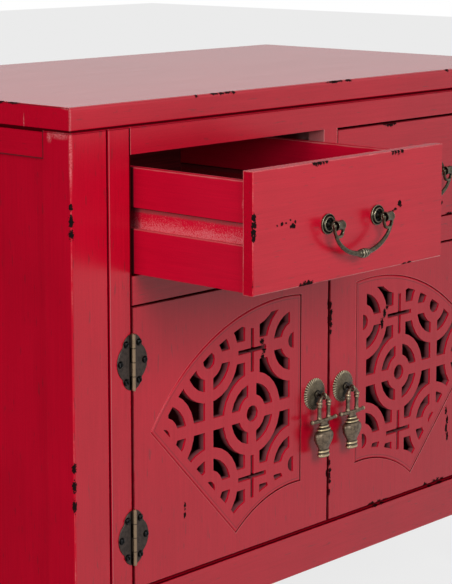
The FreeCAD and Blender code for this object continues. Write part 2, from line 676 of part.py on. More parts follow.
def bail_shape(middle_x, y, z):
    """A bow between two forks, each with a pin, and a swelling in the middle of the bow."""
    inner = n.drum_long / 2 + n.fork_play
    outer = inner + n.fork_thick
    crotch = n.drum_radius + n.fork_clear
    heel = n.bow_past - n.fork_thick
    solids = []
    for way in (-1, 1):
        x = middle_x + way * n.bail_span / 2
        corners = [Vector(x + way * out, y - n.fork_half_deep, z + up) for out, up in (
            (-outer, n.fork_over), (-inner, n.fork_over), (-inner, -crotch), (inner, -crotch),
            (inner, n.fork_over), (outer, n.fork_over), (outer, -n.fork_down), (heel, -n.fork_down),
            (-outer, -crotch - n.fork_thick / 2))]
        solids.append(flat_face(*corners).extrude(Vector(0, n.fork_half_deep * 2, 0)))
        reach = outer + n.bail_pin_out
        solids.append(through([loop_round(Vector(tip, y, z), Vector(0, n.bail_pin, 0), Vector(0, 0, n.bail_pin))
                               for tip in (x - reach, x + reach)]))
    end = n.bail_span / 2 + n.bow_past
    half = end + n.bow_bulge
    widest = math.asin(end / half)
    shares = [(-share, swell) for share, swell in reversed(BOW_SHARES)] + list(BOW_SHARES[1:])
    loops = []
    for share, swell in shares:
        across, fall = half * math.sin(widest * share), n.bail_drop * math.cos(widest * share)
        out = Vector(across / half ** 2, 0, -fall / n.bail_drop ** 2).normalize()
        wire = n.bail_wire + (n.bail_collar - n.bail_wire) * swell
        loops.append(loop_round(Vector(middle_x + across, y, z - fall), out * wire, Vector(0, wire, 0)))
    return through(loops).multiFuse(solids)


# Doors: the fan of fretwork, the board round it, pull and hinges
def circle_meets(point, direction, centre, radius, near):
    """Where a line meets a circle, at the crossing nearest to a given point."""
    offset = point - centre
    along = offset.dot(direction)
    root = math.sqrt(along * along - offset.dot(offset) + radius * radius)
    return min((point + direction * (root * sign - along) for sign in (1, -1)), key=near.distanceToPoint)


def bow_circle(top, through_point):
    """Centre and radius of the circle that has its highest point at one point and passes another."""
    across = through_point.x - top.x
    fall = top.z - through_point.z
    radius = (across * across + fall * fall) / (2 * fall)
    return top - Vector(0, 0, radius), radius


def fan_face(inset):
    """The fan, drawn in by an even inset, as a face on the plane of the cabinet's front."""
    y = number_of(FRONT)
    top = number_of(DOOR_TOP)
    low = number_of(DOOR_LOW)
    wide = -number_of(OPENING_LEFT)
    tip = Vector(n.fan_tip_in - wide, y, top - n.door_open_high * FAN_TIP_SHARE)
    foot = Vector(-wide * FAN_FOOT_SHARE, y, low + n.fan_foot_up)
    outer, outer_radius = bow_circle(Vector(-n.fan_top_side, y, top - n.fan_top_down), tip)
    inner, inner_radius = bow_circle(Vector(-n.fan_heel_side, y, low + n.fan_heel_up), foot)
    slope = (foot - tip).normalize()
    inward = Vector(-slope.z, 0, slope.x)
    up = Vector(0, 0, 1)
    side = Vector(-n.fan_side - inset, y, top)
    a = circle_meets(side, up, outer, outer_radius - inset, side)
    d = circle_meets(side, up, inner, inner_radius + inset, side)
    b = circle_meets(tip + inward * inset, slope, outer, outer_radius - inset, tip)
    c = circle_meets(foot + inward * inset, slope, inner, inner_radius + inset, foot)
    return Part.Face(Part.Wire([
        arc(a, middle_of_arc(outer, a, b), b), line(b, c), arc(c, middle_of_arc(inner, c, d), d), line(d, a)]))


def polar(radius, degrees):
    """A vector of a given length in the plane of the front."""
    angle = math.radians(degrees)
    return Vector(radius * math.cos(angle), 0, radius * math.sin(angle))


def middle_of_arc(centre, start, end):
    """The point halfway round between two points of a circle."""
    towards = (start - centre + end - centre).normalize()
    return centre + towards * (start - centre).Length


def disc_face(centre, radius):
    """A round face on the plane of the front, with flats fine enough for its size."""
    half_turn = math.acos(1 - n.ring_flat / radius)
    sides = 4 * math.ceil(math.pi / half_turn / 4)
    return flat_face(*(centre + polar(radius, 360 * step / sides) for step in range(sides)))


def bar_face(centre, half_across, half_up):
    """A rectangle on the plane of the front, about its middle."""
    corner = centre - Vector(half_across, 0, half_up)
    face = Part.makePlane(half_across * 2, half_up * 2, Vector(), Vector(0, -1, 0), Vector(1, 0, 0))
    return face.translated(corner)


def fret_openings():
    """Every opening of the fretwork, as faces inside the plain band.

    Rings stand on every other crossing of a grid. Bars join them along its lines: narrow ones cross
    each other plainly, and wide ones cross at a slot shaped like a plus. What the rings and bars
    leave is open, and so are four slots and an eye in each ring.
    """
    window = fan_face(n.fret_border)
    middle = Vector(-n.ring_side, number_of(FRONT), number_of(DOOR_TOP) - n.ring_down)
    columns = math.ceil(window.BoundBox.XLength / n.ring_pitch_across)
    rows = math.ceil(window.BoundBox.ZLength / n.ring_pitch_up)
    long_half = window.BoundBox.XLength + window.BoundBox.ZLength
    web = []
    inner_holes = []
    for column in range(-columns, columns + 1):
        half = n.wide_bar_half if column % 2 == 0 else n.bar_half
        web.append(bar_face(middle + Vector(column * n.ring_pitch_across, 0, 0), half, long_half))
    for row in range(-rows, rows + 1):
        half = n.bar_half if row % 2 == 0 else n.wide_bar_half
        web.append(bar_face(middle + Vector(0, 0, row * n.ring_pitch_up), long_half, half))
    for column in range(-columns, columns + 1):
        for row in range(-rows, rows + 1):
            spot = middle + Vector(column * n.ring_pitch_across, 0, row * n.ring_pitch_up)
            if not near_window(window, spot):
                continue
            if (column + row) % 2 == 0:
                web.append(disc_face(spot, n.ring_radius))
                inner_holes.extend(ring_openings(spot))
            elif column % 2 == 0:
                inner_holes.append(bar_face(spot, n.plus_across, n.plus_half).fuse(
                    bar_face(spot, n.plus_half, n.plus_up)).removeSplitter())
    between = window.cut(web)
    clipped = [window.common(hole) for hole in inner_holes]
    faces = between.Faces + [face for hole in clipped for face in hole.Faces]
    return [face for face in faces if face.Area > n.least_hole ** 2]


def near_window(window, spot):
    """Whether a ring or a slot about this point can reach into the window."""
    box = window.BoundBox
    reach = n.ring_radius
    return (box.XMin - reach < spot.x < box.XMax + reach) and (box.ZMin - reach < spot.z < box.ZMax + reach)


def ring_openings(spot):
    """The four slots and the eye of one ring."""
    slots = disc_face(spot, n.ring_slot_outer).cut([
        disc_face(spot, n.ring_slot_inner), bar_face(spot, n.bar_half, n.ring_radius),
        bar_face(spot, n.ring_radius, n.bar_half)])
    return slots.Faces + [disc_face(spot, n.ring_eye)]


def front_edges(shape):
    """The edges of a shape that lie on its front."""
    return [shape.Edges[number - 1] for number in edges_on(shape, "front")]


def make_fretwork():
    """The fretted panel with a fine bevel round it."""
    depth = Vector(0, n.fret_thick, 0)
    blank = fan_face(0).extrude(depth)
    blank = blank.makeChamfer(n.seam_bevel, front_edges(blank))
    openings = Part.makeCompound([face.translated(Vector(0, -n.past, 0)).extrude(
        depth + Vector(0, n.past * 2, 0)) for face in fret_openings()])
    return drawn("door_left_fretwork", blank.cut(openings))


def make_door():
    """The left door; returns the pieces that move with it by name."""
    pocket = fan_face(0).extrude(Vector(0, n.fret_thick, 0)).fuse(
        fan_face(n.fret_lip).extrude(Vector(0, n.door_thick + n.past, 0)))
    low_z = DOOR_LOW + s.door_end_play
    low_x = OPENING_LEFT + s.door_side_play
    blank = board("door_left_blank", (low_x, FRONT, low_z),
                  (-low_x - s.door_side_play, s.door_thick, s.door_open_high - s.door_end_play * 2))
    blank = bevelled("door_left_eased", blank,
                     (n.seam_bevel, tuple(("front", side) for side in ("left", "right", "top", "low"))))
    holed = cut("door_left_holed", blank, drawn("fan_pocket", pocket))
    doc.recompute()
    box = holed.Shape.BoundBox
    rim = [number for number in edges_on(holed.Shape, "front")
           if holed.Shape.Edges[number - 1].BoundBox.XMin > box.XMin + 2 * n.seam_bevel
           and holed.Shape.Edges[number - 1].BoundBox.XMax < box.XMax - 2 * n.seam_bevel]
    grooved = eased("door_left_grooved", holed, "Part::Chamfer", (n.seam_bevel, rim))
    pull = make_pull()
    hinges = make_hinges()
    door = cut("door_left_board", grooved, pull["door_left_pull_eye"])
    own = {name: piece for name, piece in hinges.items() if name.startswith("door_left")}
    shared = {name: piece for name, piece in hinges.items() if not name.startswith("door_left")}
    own.update(pull)
    own["door_left_board"] = door
    own["door_left_fretwork"] = make_fretwork()
    return own, shared


def make_pull():
    """The domed plate, the eye that holds it, and the pendant that hangs in the eye."""
    x = -s.pull_side
    z = DOOR_TOP - s.pull_down
    middle = Vector(number_of(x), number_of(FRONT), number_of(z))
    hub = flat_rod("pull_eye_hub", (x - s.eye_thick / 2, FRONT - s.eye_out, z), s.eye_radius, s.eye_thick,
                   "x", BARREL_SIDES)
    hole = rod("pull_eye_hole", (x - s.eye_thick, FRONT - s.eye_out, z), s.eye_hole, s.eye_thick * 2, "x")
    shank = flat_rod("pull_eye_shank", (x, FRONT - s.eye_out, z), s.shank_radius,
                     s.eye_out + s.shank_into, "y")
    eye = cut("door_left_pull_eye", joined("pull_eye_blank", hub, shank), hole)
    return {
        "door_left_pull_eye": eye,
        "door_left_pull_plate": cut("door_left_pull_plate", drawn("pull_plate_blank", plate_shape(middle)), eye),
        "pendant_left": drawn("pendant_left", pendant_shape(middle - Vector(0, n.eye_out, 0))),
    }


def plate_shape(middle):
    """A thin plate with a notched rim, and a dome on it."""
    rim = []
    for step in range(NOTCH_COUNT):
        for turn, radius in ((0, n.plate_radius), (0.5, n.plate_radius - n.notch_deep)):
            rim.append(middle + polar(radius, 360 * (step + turn) / NOTCH_COUNT))
    plate = flat_face(*rim).extrude(Vector(0, -n.plate_rim, 0))
    levels = [(n.plate_radius * out, n.plate_rise * up) for out, up in DOME_SHARES]
    return plate.fuse(stacked(middle, Vector(0, -1, 0), levels))


def pendant_shape(pivot):
    """A loop that hangs in the eye, a cross bar with turned-up ends, and a vase under a ringed neck."""
    def at(across, down):
        return pivot + Vector(across, 0, -down)

    def level(down, half_wide):
        half_deep = half_wide * n.vase_deep / n.vase_wide
        return loop_round(at(0, down), Vector(half_wide, 0, 0), Vector(0, half_deep, 0), BARREL_SIDES)

    half = n.loop_half
    turns = [math.pi * (1 - step / ARCH_STEPS) for step in range(ARCH_STEPS + 1)]
    spots = [(math.pi, at(-half, n.bar_down))]
    spots += [(turn, at(half * math.cos(turn), half - half * math.sin(turn))) for turn in turns]
    spots += [(0, at(half, n.bar_down))]
    wires = [n.leg_wire + (n.loop_wire - n.leg_wire) * math.sin(turn) ** 2 for turn, _ in spots]
    loop = through([loop_round(spot, Vector(math.cos(turn), 0, math.sin(turn)) * wire, Vector(0, wire, 0))
                    for (turn, spot), wire in zip(spots, wires)])
    bar = through([loop_round(at(n.bar_reach * share, n.bar_down - n.bar_curl * abs(share)),
                              Vector(0, 0, n.bar_wire * width), Vector(0, n.bar_wire * width, 0))
                   for share, width in BAR_SHARES])
    vase_top = n.bar_down + n.neck_long
    half_wide = n.vase_wide / 2
    half_bead = n.bead_high / 2
    levels = [(n.bar_down, NECK_SHARE)]
    for down, width in NECK_BEADS:
        middle = n.bar_down + n.neck_long * down
        levels += [(middle - half_bead, NECK_SHARE), (middle, width), (middle + half_bead, NECK_SHARE)]
    levels += [(vase_top + n.vase_long * down, width) for down, width in VASE_SHARES]
    slim = VASE_SHARES[-1][1]
    for down, width in FOOT_BEADS:
        middle = vase_top + n.vase_long * down
        levels += [(middle - half_bead, slim), (middle, width), (middle + half_bead, slim)]
    body = through([level(down, half_wide * width) for down, width in levels])
    return body.multiFuse([loop, bar])


def make_hinges():
    """Two surface hinges on the left; leaves, pins and screws, the frame's ones for both sides."""
    names = ("frame_leaf", "door_leaf", "pin", "frame_screws", "door_screws")
    parts = {name: [] for name in names}
    for tag, z in (("upper", DOOR_TOP - s.hinge_in), ("lower", DOOR_LOW + s.hinge_in)):
        for name, piece in make_hinge(tag, z).items():
            parts[name].append(piece)
    left = {name: grouped(f"hinge_{name}s_left", *pieces) for name, pieces in parts.items()}
    both = {name: grouped(label, left[name], mirrored(f"{label}_right", left[name]))
            for name, label in (("frame_leaf", "hinge_frame_leaves"), ("pin", "hinge_pins"),
                                ("frame_screws", "hinge_frame_screws"))}
    return {
        "door_left_hinge_leaves": left["door_leaf"],
        "door_left_hinge_screws": left["door_screws"],
        "hinge_frame_leaves": both["frame_leaf"],
        "hinge_pins": both["pin"],
        "hinge_frame_screws": both["frame_screws"],
    }


def make_hinge(tag, z):
    """One hinge about a pin: a leaf on the frame, a leaf on the door, and three screws in each."""
    axis_x = OPENING_LEFT
    axis_y = FRONT - s.hinge_out
    half_high = s.leaf_lobe_step + s.leaf_end_lobe
    pin = rod(f"hinge_pin_{tag}", (axis_x, axis_y, z - half_high), s.pin_radius, half_high * 2, "z")
    bore = flat_rod(f"hinge_bore_{tag}", (axis_x, axis_y, z - half_high - s.past),
                    round_over(s.pin_radius + s.pin_play, BORE_SIDES), (half_high + s.past) * 2, "z", BORE_SIDES)
    made = {"pin": pin}
    for owner, way, first in (("frame", -1, 0), ("door", 1, 1)):
        lobes = [flat_rod(f"{owner}_lobe_{tag}_{step + 1}",
                          (axis_x, FRONT - s.leaf_thick, z + s.leaf_lobe_step * step),
                          s.leaf_lobe if step == 0 else s.leaf_end_lobe, s.leaf_thick, "y", LOBE_SIDES)
                 for step in (-1, 0, 1)]
        inner = s.barrel_radius + s.leaf_clear
        keep_x = axis_x + inner if way > 0 else axis_x - inner - s.leaf_lobe
        keep = board(f"{owner}_leaf_side_{tag}", (keep_x, FRONT - s.leaf_thick, z - half_high),
                     (s.leaf_lobe, s.leaf_thick, half_high * 2))
        plate = doc.addObject("Part::Common", f"{owner}_plate_{tag}")
        plate.Base = joined(f"{owner}_lobes_{tag}", *lobes)
        plate.Tool = keep
        knuckle = (half_high * 2 - s.knuckle_play * 3) / 4
        solids = [plate]
        for place_number in (first, first + 2):
            low = z + half_high - (knuckle + s.knuckle_play) * place_number - knuckle
            ring = f"{owner}_knuckle_{tag}_{place_number}"
            solids.append(flat_rod(ring, (axis_x, axis_y, low), s.barrel_radius, knuckle, "z"))
            web_x = axis_x if way > 0 else axis_x - inner - s.past
            solids.append(board(f"{ring}_web", (web_x, FRONT - s.leaf_thick, low),
                                (inner + s.past, s.leaf_thick, knuckle)))
        made[f"{owner}_leaf"] = cut(f"hinge_{owner}_leaf_{tag}", joined(f"{owner}_leaf_blank_{tag}", *solids),
                                    bore)
        made[f"{owner}_screws"] = make_screws(f"hinge_{owner}_screws_{tag}", axis_x, z, way)
    return made


def make_screws(name, axis_x, z, way):
    """The heads of the three screws in one leaf."""
    spots = ((s.screw_near, s.screw_up), (s.screw_far, 0), (s.screw_near, -s.screw_up))
    low_y = FRONT - s.leaf_thick - s.screw_high
    return grouped(name, *(flat_rod(f"{name}_{number}", (axis_x + out * way, low_y, z + up),
                                    s.screw_head, s.screw_high, "y", BORE_SIDES)
                           for number, (out, up) in enumerate(spots)))


def all_pieces():
    """Every named piece of the cabinet."""
    pieces = make_case()
    door, shared = make_door()
    drawer = make_drawer()
    pieces.update(shared)
    for source, back in ((door, None), (drawer, s.drawer_shown)):
        for name, piece in source.items():
            pieces[name] = piece
            twin = name.replace("left", "right")
            pieces[twin] = mirrored(twin, piece, back)
    pieces.update(make_bails())
    return pieces


def check(piece, label):
    """Stops with a plain message if a piece isn't a sound solid."""
    shape = piece.Shape
    if shape.isNull() or not shape.isValid() or not shape.Solids:
        raise ValueError(f"{label} isn't a valid solid")


def main():
    """Builds the cabinet, checks every object and writes each named piece."""
    pieces = all_pieces()
    doc.recompute()
    for thing in doc.Objects:
        if "Invalid" in thing.State or "Error" in thing.State:
            raise ValueError(f"{thing.Name} failed: {thing.State}")
    os.makedirs("parts", exist_ok=True)
    for label, piece in pieces.items():
        check(piece, label)
        piece.Label = label
        piece.Shape.exportStep(os.path.join("parts", f"{label}.step"))
    print(len(pieces), "pieces")


main()
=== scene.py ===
"""Red lacquered cabinet: finishes for its boards, and cast and turned brass for its handles, pulls and hinges.

Lengths in the classes below are millimetres, as on a maker's drawing. Meshes and materials are in metres.
"""

import logging
import math
from dataclasses import dataclass, field, fields
from enum import Enum, Flag
from typing import Any, Dict, List, Optional, Sequence, Tuple, Union

import bpy
import numpy as np
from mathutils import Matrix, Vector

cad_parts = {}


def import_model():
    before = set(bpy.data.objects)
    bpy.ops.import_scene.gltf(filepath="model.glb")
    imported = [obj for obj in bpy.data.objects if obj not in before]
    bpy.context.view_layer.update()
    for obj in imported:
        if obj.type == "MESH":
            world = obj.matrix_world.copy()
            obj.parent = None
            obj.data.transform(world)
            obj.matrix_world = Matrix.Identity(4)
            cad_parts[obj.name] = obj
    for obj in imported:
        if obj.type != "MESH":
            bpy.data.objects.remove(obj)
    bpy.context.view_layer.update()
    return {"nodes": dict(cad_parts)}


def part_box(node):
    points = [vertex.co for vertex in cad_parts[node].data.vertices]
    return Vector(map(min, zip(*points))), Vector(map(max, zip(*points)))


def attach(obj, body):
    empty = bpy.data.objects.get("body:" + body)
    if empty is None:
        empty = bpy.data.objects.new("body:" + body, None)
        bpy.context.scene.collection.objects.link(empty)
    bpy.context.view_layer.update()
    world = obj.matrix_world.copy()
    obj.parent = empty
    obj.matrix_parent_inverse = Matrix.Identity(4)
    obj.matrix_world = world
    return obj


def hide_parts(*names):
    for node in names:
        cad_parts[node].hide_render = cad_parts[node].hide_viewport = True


LOG = logging.getLogger("cabinet")
MM = 0.001
IN_MM = 1000.0
# y of the case's front and of the open drawer's front, in millimetres
CASE_FRONT = -164.5
DRAWER_FRONT = -370.5
WHITE = (1.0, 1.0, 1.0)
Vec3 = Tuple[float, float, float]
Colour = Tuple[float, float, float]
Row = Tuple[float, float, float, float, float, float]


class Grain(Enum):
    """The way the fibres of a board run."""

    ACROSS = 0
    FRONT_TO_BACK = 1
    UPRIGHT = 2


class Axis(Enum):
    """The axis that a turned piece is turned about."""

    X = 0
    Y = 1
    Z = 2


class Side(Flag):
    """Sides of a board."""

    NONE = 0
    LEFT = 1
    RIGHT = 2
    FRONT = 4
    REAR = 8
    UNDER = 16
    TOP = 32
    EDGES = 51

    def mirrored(self) -> "Side":
        """The same sides with left and right exchanged."""
        left = Side.RIGHT if self & Side.LEFT else Side.NONE
        right = Side.LEFT if self & Side.RIGHT else Side.NONE
        return self & ~(Side.LEFT | Side.RIGHT) | left | right


SIDE_ORDER = ((Side.LEFT, Side.RIGHT), (Side.FRONT, Side.REAR), (Side.UNDER, Side.TOP))


# ---------------------------------------------------------------------------------------------
# Shader maths
# ---------------------------------------------------------------------------------------------
class Signal:
    """A value or a colour on its way through a material; Python's operators add Math nodes."""

    def __init__(self, bench: "Bench", socket: Any) -> None:
        """Wraps one output socket of a material's nodes.

        Args:
            bench: the material that is being made.
            socket: the output socket.
        """
        self.bench = bench
        self.socket = socket

    def __add__(self, other: "Value") -> "Signal":
        """Sum."""
        return self.bench.math("ADD", self, other)

    __radd__ = __add__

    def __sub__(self, other: "Value") -> "Signal":
        """Difference."""
        return self.bench.math("SUBTRACT", self, other)

    def __rsub__(self, other: "Value") -> "Signal":
        """Difference, the other way round."""
        return self.bench.math("SUBTRACT", other, self)

    def __mul__(self, other: "Value") -> "Signal":
        """Product."""
        return self.bench.math("MULTIPLY", self, other)

    def __pow__(self, other: "Value") -> "Signal":
        """Power."""
        return self.bench.math("POWER", self, other)

    def __neg__(self) -> "Signal":
        """Opposite."""
        return self.bench.math("MULTIPLY", self, -1.0)

    def __abs__(self) -> "Signal":
        """Size without its sign."""
        return self.bench.math("ABSOLUTE", self)

    def least(self, other: "Value") -> "Signal":
        """The smaller of two values."""
        return self.bench.math("MINIMUM", self, other)

    def most(self, other: "Value") -> "Signal":
        """The larger of two values."""
        return self.bench.math("MAXIMUM", self, other)

    def step(self, low: float, high: float) -> "Signal":
        """A soft step.

        Args:
            low: the value at which the step is 0.
            high: the value at which it is 1; it may lie below low.

        Returns:
            0 to 1, with a smooth start and end.
        """
        return self.bench.node("ShaderNodeMapRange", {"interpolation_type": "SMOOTHSTEP"},
                               {"Value": self, "From Min": low, "From Max": high})


Value = Union[Signal, float, int]


class Bench:
    """Where the nodes of one material, or of the sky, are made."""

    def __init__(self, owner: Union[bpy.types.Material, bpy.types.World]) -> None:
        """Takes away the nodes that a new material or sky comes with.

        Args:
            owner: the material or sky.
        """
        self.owner = owner
        owner.use_nodes = True
        self.tree = owner.node_tree
        self.tree.nodes.clear()

    def node(self, kind: str, settings: Dict[str, Any], sockets: Dict[Union[str, int], Any],
             output: Union[str, int] = 0) -> Signal:
        """Adds a node.

        Args:
            kind: the node's type.
            settings: its own settings, which are set first.
            sockets: a value or a link for each input, by name or by number.
            output: which output is wanted.

        Returns:
            That output.
        """
        made = self.tree.nodes.new(kind)
        for name, value in settings.items():
            setattr(made, name, value)
        for name, value in sockets.items():
            socket = made.inputs[name]
            if isinstance(value, Signal):
                self.tree.links.new(value.socket, socket)
            elif isinstance(value, tuple) and len(value) == 3 and socket.type == "RGBA":
                socket.default_value = (*value, 1.0)
            else:
                socket.default_value = value
        return Signal(self, made.outputs[output])

    def math(self, operation: str, *values: Value) -> Signal:
        """Adds a Math node for the given values and returns its result."""
        return self.node("ShaderNodeMath", {"operation": operation}, dict(enumerate(values)))

    def place(self) -> Signal:
        """The point on the piece, in metres in the cabinet's frame at rest."""
        return self.node("ShaderNodeTexCoord", {}, {}, "Object")

    def facing(self) -> Signal:
        """The way the surface faces, in the piece's own frame."""
        return self.node("ShaderNodeTexCoord", {}, {}, "Normal")

    def parts(self, vector: Signal) -> List[Signal]:
        """The three components of a vector."""
        first = self.node("ShaderNodeSeparateXYZ", {}, {0: vector})
        return [Signal(self, first.socket.node.outputs[axis]) for axis in range(3)]

    def shaped(self, vector: Signal, scale: Vec3, shift: Vec3 = (0.0, 0.0, 0.0)) -> Signal:
        """A vector stretched by a scale on each axis and then moved."""
        return self.node("ShaderNodeVectorMath", {"operation": "MULTIPLY_ADD"}, {0: vector, 1: scale, 2: shift})

    def noise(self, vector: Signal, scale: float, detail: float = 3.0, rough: float = 0.55,
              warp: float = 0.0) -> Signal:
        """Cloudy variation about 0.5.

        Args:
            vector: where on the piece.
            scale: how many clouds to one unit of the vector.
            detail: how many finer layers it has.
            rough: how strong the finer layers are.
            warp: how much it swirls.

        Returns:
            The value.
        """
        return self.node("ShaderNodeTexNoise", {}, {"Vector": vector, "Scale": scale, "Detail": detail,
                                                    "Roughness": rough, "Distortion": warp})

    def reach(self, vector: Signal, middle: Vec3, half: Vec3) -> Signal:
        """How far out a point is in an ellipsoid: 0 in its middle and 1 on its surface."""
        scale = tuple(1.0 / size for size in half)
        shift = tuple(-centre / size for centre, size in zip(middle, half))
        return self.node("ShaderNodeVectorMath", {"operation": "LENGTH"}, {0: self.shaped(vector, scale, shift)},
                         "Value")

    def mix(self, share: Value, first: Union[Signal, Colour], second: Union[Signal, Colour]) -> Signal:
        """The first colour where the share is 0 and the second where it is 1."""
        return self.node("ShaderNodeMix", {"data_type": "RGBA"}, {0: share, 6: first, 7: second}, 2)

    def bump(self, height: Signal, distance: float, strength: float = 1.0) -> Signal:
        """Normals of a surface raised by height times distance in metres."""
        return self.node("ShaderNodeBump", {}, {"Strength": strength, "Distance": distance, "Height": height})

    def attribute(self, name: str) -> Signal:
        """A value that the piece's mesh carries."""
        return self.node("ShaderNodeAttribute", {"attribute_name": name}, {}, "Fac")

    def painted(self, **sockets: Any) -> bpy.types.Material:
        """Ends the material.

        Args:
            sockets: values or links of the shader, by name with _ for spaces.

        Returns:
            The material.
        """
        named = {name.replace("_", " "): value for name, value in sockets.items()}
        return self.closed(self.node("ShaderNodeBsdfPrincipled", {}, named))

    def closed(self, shader: Signal, kind: str = "Material") -> Union[bpy.types.Material, bpy.types.World]:
        """Joins a shader to the output of its kind and returns the material or sky."""
        end = self.tree.nodes.new(f"ShaderNodeOutput{kind}")
        self.tree.links.new(shader.socket, end.inputs["Surface"])
        return self.owner

    def seen(self) -> Signal:
        """1 where the camera or a reflection looks, and 0 for the light that a surface scatters."""
        camera = self.node("ShaderNodeLightPath", {}, {}, "Is Camera Ray")
        return camera.most(Signal(self, camera.socket.node.outputs["Is Glossy Ray"]))


# ---------------------------------------------------------------------------------------------
# Finishes
# ---------------------------------------------------------------------------------------------
@dataclass(frozen=True)
class Chip:
    """A place where lacquer has come off: its middle and its half sizes."""

    middle: Vec3
    half: Vec3


@dataclass(frozen=True)
class Marks:
    """What runs along the sides of a board.

    The board's arrises are made pale, partly as wear and partly as a painted highlight of the edges catching the
    light, but for those along the quiet sides. A seam is a wide dark line along a side, a painted shadow of the gap
    there; a joint a narrower red one, painted shade in its V-groove; and a hairline a thin brown one. A bead is a
    painted highlight along a joint, a bright strip. A side that lies in a narrow gap is painted dark as the gap's
    shade, and a dusty one is greyish.
    """

    quiet: Side = Side.NONE
    # painted shadow: a wide dark line along the side where the gap beside it lies
    shadow_seams: Side = Side.NONE
    # painted shade: a narrower dark red line in the V-groove at a joint
    joints: Side = Side.NONE
    hairs: Side = Side.NONE
    # painted highlight along a joint, where the eased edge beside it catches the light
    bead: Side = Side.NONE
    # painted shade: the faces of sides that lie in a narrow gap are painted dark
    gap_shade: Side = Side.NONE
    dusty: Side = Side.NONE

    def mirrored(self) -> "Marks":
        """The marks of the board on the other side of the cabinet."""
        return Marks(*(getattr(self, entry.name).mirrored() for entry in fields(self)))


@dataclass(frozen=True)
class Board:
    """A squared board as its finish sees it.

    It is given by its low and high corner, the way its grain runs, the marks along its sides, the chips
    where lacquer has come off, and the places made pale, partly where it is worn and partly as painted highlights
    on its arrises.
    """

    low: Vec3
    high: Vec3
    grain: Grain
    marks: Marks = Marks()
    chips: Tuple[Chip, ...] = ()
    # pale places: wear, and painted highlights along arrises
    wear_and_glints: Tuple[Chip, ...] = ()


@dataclass(frozen=True)
class Fan:
    """The outline of the doors' fans, in millimetres, for both doors at once."""

    side: float = 62.5
    tip: Tuple[float, float] = (362.6, 415.8)
    slope: Tuple[float, float] = (-0.7277, 0.6861)
    outer: Tuple[float, float, float] = (100.0, 240.0, 316.0)
    inner: Tuple[float, float, float] = (75.0, 92.95, 192.35)

    def depth(self, x: Signal, z: Signal) -> Signal:
        """How far a point lies inside the outline, negative outside it.

        It is the least of the distances to the straight side, to the slanting one (a line through the tip
        with the slope as its normal), to the outer bow (its radius less the distance from its middle) and
        from the inner bow (the distance from its middle less its radius).

        Args:
            x: the point's place across.
            z: its height.

        Returns:
            The depth in millimetres.
        """
        across, high = abs(x) * IN_MM, z * IN_MM
        slant = (across - self.tip[0]) * self.slope[0] + (high - self.tip[1]) * self.slope[1]
        bows = [((across - bow[0]) ** 2 + (high - bow[1]) ** 2) ** 0.5 - bow[2] for bow in (self.outer, self.inner)]
        return (across - self.side).least(slant).least(-bows[0]).least(bows[1])


